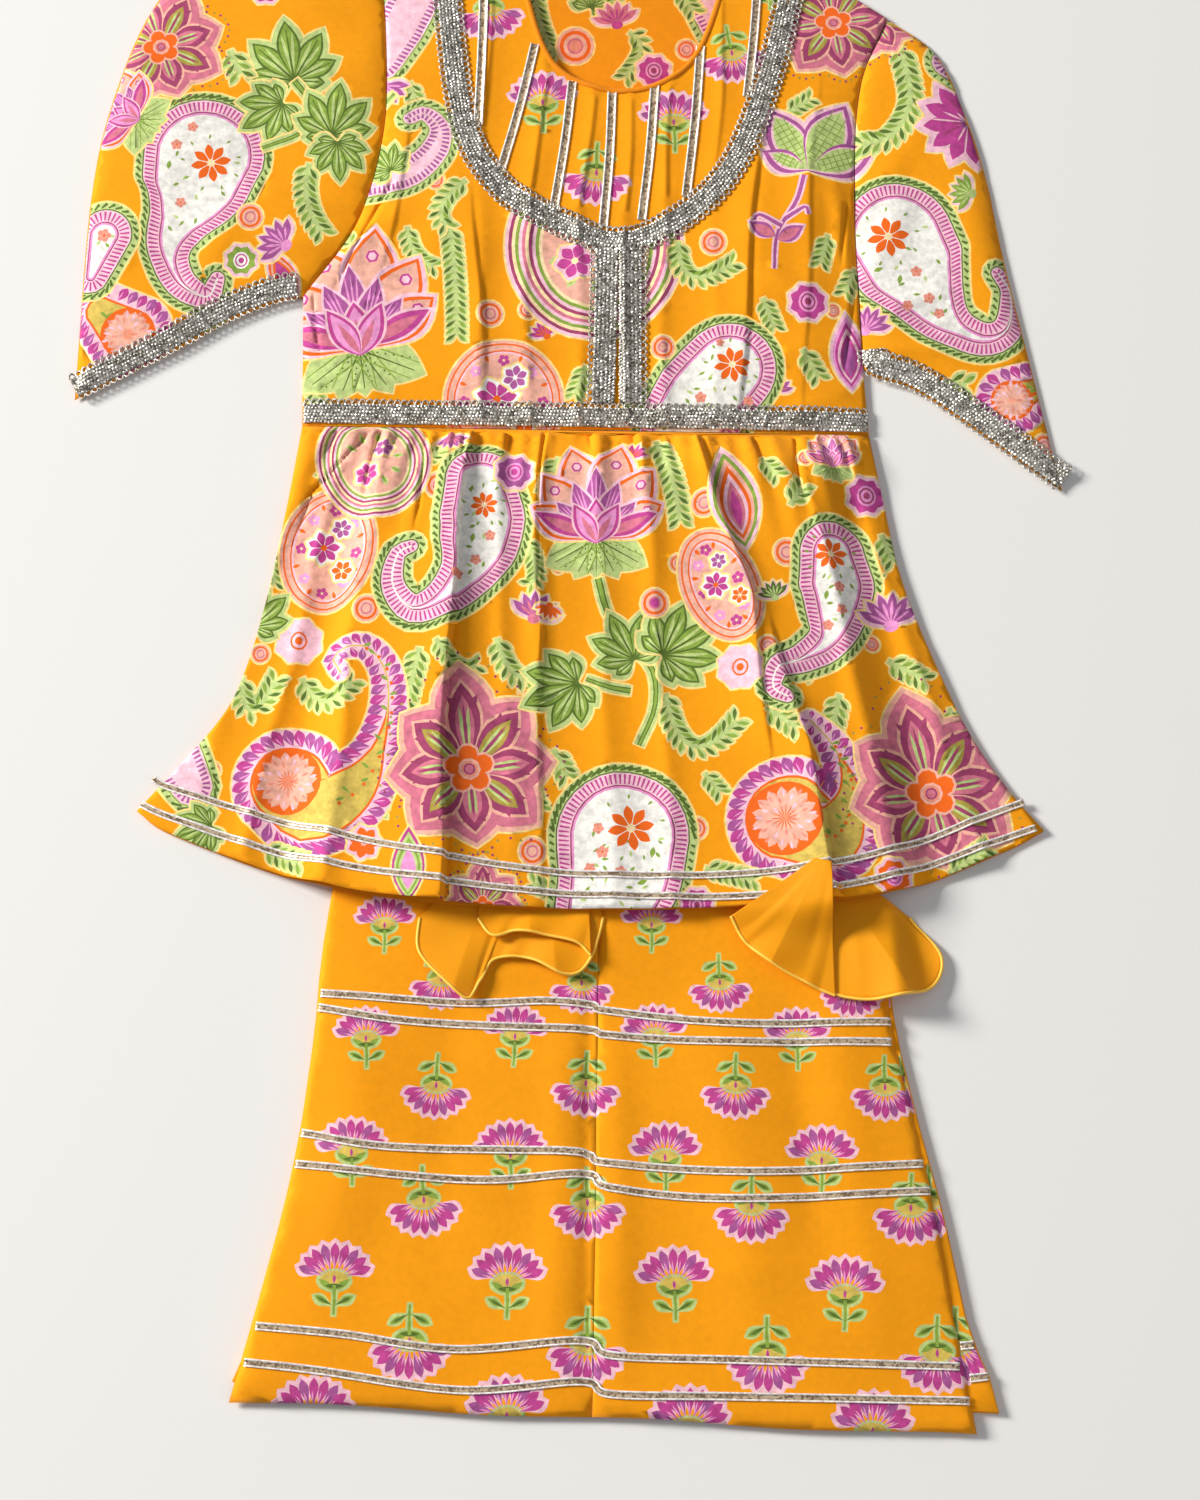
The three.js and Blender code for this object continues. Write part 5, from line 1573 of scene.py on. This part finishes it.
# ------------------------------
# The sleeves: each one piece of the printed cloth, folded along its outer edge and seamed
# underneath, set into the armhole and flaring a little to its hem.
def sleeve(name, armhole, outer, hem, shift, inked, folds, seed):
    """Upper and under layers of one piece, joined along the rounded outer fold."""
    outer = smooth(outer, 70)
    armhole, hem = armhole + (shift, 0), smooth(hem, 34)
    outline = np.vstack([outer, hem[::-1][1:], armhole[::-1][:-1]])
    ccw = counterclockwise(outline)

    middle = 1.35

    def rounded(points):
        away = distance_inside(points, outer, closed=False)
        return np.sqrt(1 - (1 - np.clip(away / 2.4, 0, 1)) ** 2)

    def upper(points):
        edge = distance_inside(points, ccw)
        full = 1.2 * (1 - np.exp(-edge / 5)) + 1.4 * (1 - np.exp(-edge / 20))
        free = 1 - np.exp(-(edge / 4) ** 2)
        lift = 0.5 + full + free * creases(points, folds) + free * ripple(points, seed, 50, 0.8)
        return middle + lift * rounded(points)

    def under(points):
        return middle - 1.05 * rounded(points)

    points, triangles, inks = divide(ccw, inked, 3.8)
    low_points, low_triangles, low_inks = divide(ccw, [], 9.0)
    start = len(points)
    vertices = np.vstack([laid(points, upper(points)), laid(low_points, under(low_points))])
    faces = triangles + [[start + v for v in tri[::-1]] for tri in low_triangles]
    piece = add_piece(name, vertices, faces, paisley_cotton, [INK_COLOURS[i] for i in inks + low_inks])
    weld(piece)
    thicken(piece, 0.5)
    return piece, upper


LEFT_OUTER = [TIP_LEFT, (-144, 412), (-184, 400), (-217, 365), (-238, 310), (-248, 250), (-252, 143)]
LEFT_HEM = [UNDERARM_LEFT, (-150, 197), (-174, 187), (-201, 171), (-252, 143)]
RIGHT_OUTER = [TIP_RIGHT, (190, 335), (204, 302), (215, 262), (223, 215), (248, 94)]
RIGHT_HEM = [UNDERARM_RIGHT, (151, 158), (173, 150), (199, 132), (248, 94)]
LEFT_FOLDS = [
    (-110, 240, -176, 262, 7, 1.4),
    (-118, 226, -196, 232, 6, 1.2),
    (-102, 300, -170, 340, 12, 1.4),
    (-130, 206, -170, 214, 4, 1.2),
    (-200, 330, -228, 200, 16, 1.3),
    (-148, 330, -172, 250, 12, -0.8),
    (-206, 180, -170, 250, 8, 1.2),
]
RIGHT_FOLDS = [
    (148, 205, 178, 262, 7, 1.5),
    (150, 186, 200, 206, 6, 1.3),
    (149, 240, 190, 310, 9, 1.2),
    (152, 168, 196, 170, 4, 1.1),
    (196, 300, 226, 150, 10, 1.3),
    (172, 300, 184, 200, 9, -0.7),
]
sleeve_left, left_height = sleeve("sleeve_left_folded", ARMHOLE_LEFT, LEFT_OUTER, LEFT_HEM, -0.4,
                                  left_sleeve_print, LEFT_FOLDS, 21)
sleeve_right, right_height = sleeve("sleeve_right_folded", ARMHOLE_RIGHT, RIGHT_OUTER, RIGHT_HEM, 0.4,
                                    right_sleeve_print, RIGHT_FOLDS, 22)
own(sleeve_left, "paisley_print", "sleeve_left")
own(sleeve_right, "paisley_print", "sleeve_right")

# ------------------------------
# The peplum: a flared skirt gathered into the waist seam, front and back. Its pleats open into
# long soft folds, two of them deep, and the hem passes over the sharara.
PEPLUM_LEFT = smooth([WAIST_LEFT, (-142, 90), (-152, 35), (-168, -17), (-194, -50), (-213, -72)], 60)
PEPLUM_RIGHT = smooth([WAIST_RIGHT, (158, 86), (168, 40), (194, -25), (216, -61), (233, -82)], 60)
PEPLUM_HEM = smooth([(-213, -72), (-193, -85), (-117, -112), (-40, -122), (60, -123), (150, -116), (212, -93),
                     (233, -82)], 110)
peplum_outline = np.vstack([PEPLUM_LEFT[:-1], PEPLUM_HEM[:-1], PEPLUM_RIGHT[::-1][:-1],
                            run(WAIST_RIGHT, WAIST_LEFT, 60)[:-1]]) - (0, 0.3)
LONG_FOLDS = [
    # the crest's course as x, y and height; half width left and right; share of it in a sharp drop
    ([(-128, 127, 2.0), (-160, 20, 3.0), (-184, -60, 1.0)], 10, 9, 0.0),
    ([(-112, 127, 2.2), (-160, -95, 3.2)], 9, 9, 0.1),
    ([(-90, 127, 2.2), (-106, 40, 3.4), (-118, -110, 3.4)], 10, 9, 0.1),
    ([(-50, 127, 3.0), (-55, 75, 8.5), (-61, 8, 12.0), (-62.6, -120, 12.4)], 50, 40, 0.44),
    ([(-40, 127, 1.6), (-28, -60, 2.6), (-26, -115, 0.6)], 9, 11, 0.0),
    ([(-12.3, 127, 2.6), (-16.5, 39, 4.6), (-15, -30, 3.0), (-15, -110, 1.6)], 13, 9, 0.34),
    ([(12, 127, 1.6), (22, -120, 2.4)], 12, 12, 0.0),
    ([(36, 127, 2.0), (52, -120, 3.0)], 12, 10, 0.1),
    ([(62, 127, 3.6), (70, 99, 5.2), (78, 68, 6.2), (90, 33, 6.6), (96, -24, 4.0), (99, -60, 0.0)],
     24, 14, 0.4),
    ([(98, 30, 0.0), (107, -12, 7.5), (116, -42, 10.5), (128, -106, 11.0), (131, -122, 11.0)], 34, 24, 0.44),
    ([(112, 127, 2.0), (150, -50, 2.6), (160, -120, 1.4)], 8, 9, 0.0),
    ([(134, 127, 2.0), (172, 0, 3.0), (204, -95, 3.2)], 11, 10, 0.1),
]
PINCHES = [
    # a fine pleat drawn in at the waist: its course as x and y, and its depth
    ([(-99, 129), (-131, 92), (-137, 64)], 1.7),
    ([(-95, 129), (-102, 96), (-104, 76)], 1.6),
    ([(-74, 129), (-75, 81), (-78, 62)], 1.6),
    ([(-12.8, 129), (-17.0, 39), (-16, 0)], 1.9),
    ([(113, 127), (115.5, 97), (121, 78)], 1.7),
    ([(64, 128), (72, 98), (80, 66)], 1.2),
    ([(-118, 129), (-127, 110)], 1.2),
    ([(-52, 129), (-54, 106)], 1.3),
    ([(-31, 128), (-32, 110)], 1.0),
    ([(8, 128), (10, 111)], 1.2),
    ([(31, 128), (35, 104)], 1.3),
    ([(48, 128), (53, 113)], 1.0),
    ([(90, 127), (97, 102)], 1.3),
    ([(135, 127), (141, 98)], 1.2),
]


def bed_height(points):
    """What the peplum passes over: the sharara, its waistband and the folded dupatta."""
    x, y = points.T
    left = 1 - rise((at_row(SHARARA, y, SHARARA_LEFT) - x - 4) / 26)
    right = 1 - rise((x - at_row(SHARARA, y, SHARARA_UNDER) - 4) / 26)
    return 9.6 * left * right * (1 - rise((y - 100) / 26))


gather_draw = random.Random(8)
GATHER_COUNT, GATHER_START = 38, WAIST_LEFT[0] + 4
GATHER_WIDTH = WAIST_RIGHT[0] - WAIST_LEFT[0] - 8
GATHERS = []
for k in range(GATHER_COUNT):
    waist_x = GATHER_START + GATHER_WIDTH * (k + gather_draw.uniform(0.1, 0.9)) / GATHER_COUNT
    spread = 1 + gather_draw.uniform(0.18, 0.34)
    GATHERS.append((waist_x, gather_draw.uniform(26, 95), spread, gather_draw.uniform(1.6, 2.9),
                    gather_draw.uniform(2.0, 4.2)))


def peplum_height(points):
    x, y = points.T
    low = np.interp(x, PEPLUM_HEM[:, 0], PEPLUM_HEM[:, 1])
    high = np.interp(x, [WAIST_LEFT[0], WAIST_RIGHT[0]], [WAIST_LEFT[1], WAIST_RIGHT[1]])
    v = np.clip((high - y) / (high - low), 0, 1)
    lift = 1.9 + bed_height(points)
    edge = distance_inside(points, peplum_outline)
    lift += 1.2 * (1 - np.exp(-edge / 8))
    lift += long_folds(points, LONG_FOLDS, 0.45 + 0.75 * v) + pinched(points, PINCHES)
    for waist_x, length, spread, width, height in GATHERS:
        down = np.clip((high - y) / length, 0, 1)
        middle = 8 + (waist_x - 8) * (1 + (spread - 1) * down * length / 120)
        lift += height * np.exp(-((x - middle) / (width * (1 + 1.2 * down))) ** 2) * (1 - down) ** 1.2
    lift += ripple(points, 7, 48, 0.9)
    seam = rise((high - y) / 5)
    return (2.4 + bed_height(points)) * (1 - seam) + lift * seam


peplum_front = cut_cloth("peplum_front_gathered", peplum_outline, peplum_print, peplum_height, paisley_cotton,
                         3.0, extra=crease_grid(LONG_FOLDS, PINCHES))
# The peplum's back is darkened by the inside tint as painted shade under the front.
peplum_back = cut_cloth("peplum_back_gathered", peplum_outline, [],
                        lambda p: 1.0 + bed_height(p), inside_painted_shade_cotton, 6.0)
own(peplum_front, "paisley_print", "peplum_front")
own(peplum_back, "paisley_print", "peplum_back")

HEM_RIBBONS = {
    "upper": [(-205.5, -56), (-193, -62), (-130, -82), (-69, -97), (15, -107), (128, -102), (223.5, -68)],
    "lower": [(-211, -69), (-193, -77), (-130, -98), (-68, -110), (15, -117), (128, -114), (229, -81)],
}
for row, course in HEM_RIBBONS.items():
    own(gota(f"peplum_ribbon_{row}_gota", course, peplum_height, 3.6), "silver_trim", f"peplum_ribbon_{row}")

# The corner of the dupatta's right end, turned back over the kurta's hem in a cone.
CORNER_ROOT = [(119, -101), (127, -103)]
CORNER_RIM = [(79, -127), (88, -143), (104, -155), (128, -165)]


def over_hem(points):
    """On the peplum; below its hem, falling to the sharara."""
    x, y = points.T
    hem = np.interp(x, PEPLUM_HEM[:, 0], PEPLUM_HEM[:, 1])
    on_kurta = peplum_height(np.column_stack([x, np.maximum(y, hem + 0.6)])) + 1.1
    on_leg = rest_height(points) + 1.4
    return on_leg + (on_kurta - on_leg) * np.exp(-(np.maximum(hem - y, 0) / 13) ** 2)


corner = ruffled_end("dupatta_corner_turned_over_hem", CORNER_ROOT, CORNER_RIM, 1.0, 4.0, 1.6, 5,
                     over_hem)

YOKE_RIBBONS = [((-46, 400), (-48, 300)), ((-20, 335), (-35, 273)), ((0, 314), (-8, 253)),
                ((21, 308), (17, 243)), ((43, 311), (37, 247)), ((67, 334), (60, 260)),
                ((98, 386), (92, 316))]
for number, (top, end) in enumerate(YOKE_RIBBONS, 1):
    course = np.array(end, float) - top
    course /= np.hypot(*course)
    reach = [top - course * 4.5, (np.array(top) + end) / 2 + (0.8, 0), end + course * 7]
    own(gota(f"yoke_gota_{number}", reach, bodice_height, 4.8), "silver_trim", f"yoke_ribbon_{number}")

# ------------------------------
# The silver lace: a braided band thick with small sequins, looped along its edges. It runs round
# the yoke seam, in two lengths down the placket, across the waist seam and round each sleeve.
lace_silver = silver("lace_silver", (188, 182, 170), (84, 78, 68), 1100.0)
sequin_silver = silver("sequin_silver", (226, 222, 212), (122, 116, 104), 420.0)
loop_silver = silver("loop_silver", (226, 221, 210), (146, 138, 124), 800.0)
for finish in (lace_silver, sequin_silver, loop_silver):
    finish.node_tree.nodes["Principled BSDF"].inputs["Roughness"].default_value = 0.36


def shape_of(mesh):
    """The corners and faces of a small bmesh, to be set out many times."""
    mesh.verts.index_update()
    corners = np.array([vertex.co for vertex in mesh.verts])
    faces = np.array([[vertex.index for vertex in face.verts] for face in mesh.faces])
    mesh.free()
    return corners, faces


sequin_mesh = bmesh.new()
bmesh.ops.create_cone(sequin_mesh, segments=7, radius1=0.75, radius2=0.0, depth=0.3)
SEQUIN = shape_of(sequin_mesh)
loop_mesh = bmesh.new()
bmesh.ops.create_circle(loop_mesh, segments=4, radius=0.4)
bmesh.ops.rotate(loop_mesh, verts=loop_mesh.verts, matrix=Matrix.Rotation(math.pi / 2, 3, "X"))
bmesh.ops.translate(loop_mesh, verts=loop_mesh.verts, vec=(1.6, 0, 0))
bmesh.ops.spin(loop_mesh, geom=loop_mesh.edges[:], cent=(0, 0, 0), axis=(0, 0, 1),
               angle=math.radians(216), steps=9)
bmesh.ops.rotate(loop_mesh, verts=loop_mesh.verts, matrix=Matrix.Rotation(math.radians(-18), 3, "Z"))
bmesh.ops.scale(loop_mesh, verts=loop_mesh.verts, vec=(1, 1.5, 1))
LOOP = shape_of(loop_mesh)


def set_out(name, shape, places, height, material, smooth_faces=True):
    """Copies of a small shape on the cloth; a place is x, y, a 2 by 2 turn and two leans."""
    corners, faces = shape
    spots = np.array([spot for spot, _, _ in places])
    turned = np.array([corners[:, :2] @ turn for _, turn, _ in places]) + spots[:, None]
    leans = np.array([corners[:, :2] @ lean for _, _, lean in places])
    flat = turned.reshape(-1, 2)
    levels = height(flat) + (corners[:, 2] + leans).ravel()
    joined = (faces + len(corners) * np.arange(len(places))[:, None, None]).reshape(-1, faces.shape[1])
    return add_piece(name, laid(flat, levels), joined.tolist(), material, smooth_faces=smooth_faces)


def silver_lace(name, points, height, seed, width, loops, clear):
    """The lace along a line: a braid ground, sequins set in slanting rows, and loops at the edges."""
    draw = random.Random(seed)
    length = np.hypot(*np.diff(smooth(points, 90), axis=0).T).sum()
    line = smooth(points, max(10, int(length / 1.6)))
    half = width / 2 - 0.6
    section = [(half, 0.0), (half, 0.55)]
    section += [(half * (1 - k / 4), 0.62 + 0.12 * (k % 2)) for k in range(1, 8)]
    section += [(-half, 0.55), (-half, 0.0)]
    side = normals_of(line)
    braid = 0.12 * np.sin(np.arange(len(line)) * math.pi)
    heights = [height(line + side * across) + clear + braid for across, _ in section]
    pieces = [sweep(name + "_braid", line, heights, section, lace_silver)]

    def along(share):
        at = np.clip(share, 0, 0.9999) * (len(line) - 1)
        low, part = int(at), at - int(at)
        return line[low] * (1 - part) + line[low + 1] * part, side[low]

    places = []
    rows = int(length / 1.75)
    for k in range(rows):
        for j in range(6):
            middle, out = along((k + 0.5 + 0.28 * math.sin(j * 2.1)) / rows)
            spot = middle + out * ((j - 2.5) / 2.5 * (half - 0.5) + draw.uniform(-0.3, 0.3))
            lean = np.array([draw.uniform(-0.3, 0.3), draw.uniform(-0.3, 0.3)])
            places.append((spot, np.eye(2) * draw.uniform(0.85, 1.12), lean))
    pieces.append(set_out(name + "_sequins", SEQUIN, places, lambda at: height(at) + clear + 1.1,
                          sequin_silver, smooth_faces=False))
    places = []
    for edge in [edge for edge, wanted in zip((1, -1), loops) if wanted]:
        count = int(length / 3.5)
        for k in range(count):
            middle, out = along((k + 0.5) / count)
            out = out * edge
            turn = np.array([[-out[1], out[0]], out])
            places.append((middle + out * (half + 0.1), turn, np.zeros(2)))
    pieces.append(set_out(name + "_loops", LOOP, places, lambda at: height(at) + clear + 0.45, loop_silver))
    for piece in pieces:
        own(piece, "silver_trim")
    return pieces[0]


waist_line = run((WAIST_LEFT[0] + 0.5, WAIST_LEFT[1] + 6.2), (WAIST_RIGHT[0] - 0.5, WAIST_RIGHT[1] + 6.2), 6)
left_hem_line = beside(smooth(LEFT_HEM, 50), -5.4)[1:49]
right_hem_line = beside(smooth(RIGHT_HEM, 50), 5.4)[1:49]
left_placket = [(18.5, 224), (17.6, 180), (16.5, 140)]
right_placket = [(30.4, 224), (30.4, 180), (30.4, 140)]
LACES = [
    # solid, piece, line, the cloth under it, seed, width, loops at left and right, lift off the cloth
    ("waist_lace", "waist", waist_line, bodice_height, 31, 11.0, (True, False), 0.25),
    ("yoke_lace", "yoke", YOKE_SEAM, bodice_height, 32, 11.5, (True, True), 0.25),
    ("placket_lace_left", "placket_left", left_placket, bodice_height, 33, 12.6, (False, True), 0.6),
    ("placket_lace_right", "placket_right", right_placket, bodice_height, 34, 12.6, (True, False), 0.6),
    ("sleeve_lace_left", "sleeve_left", left_hem_line, left_height, 35, 11.0, (True, True), 0.25),
    ("sleeve_lace_right", "sleeve_right", right_hem_line, right_height, 36, 11.0, (True, True), 0.25),
]
for lace, *settings in LACES:
    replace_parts(silver_lace(*settings), lace)
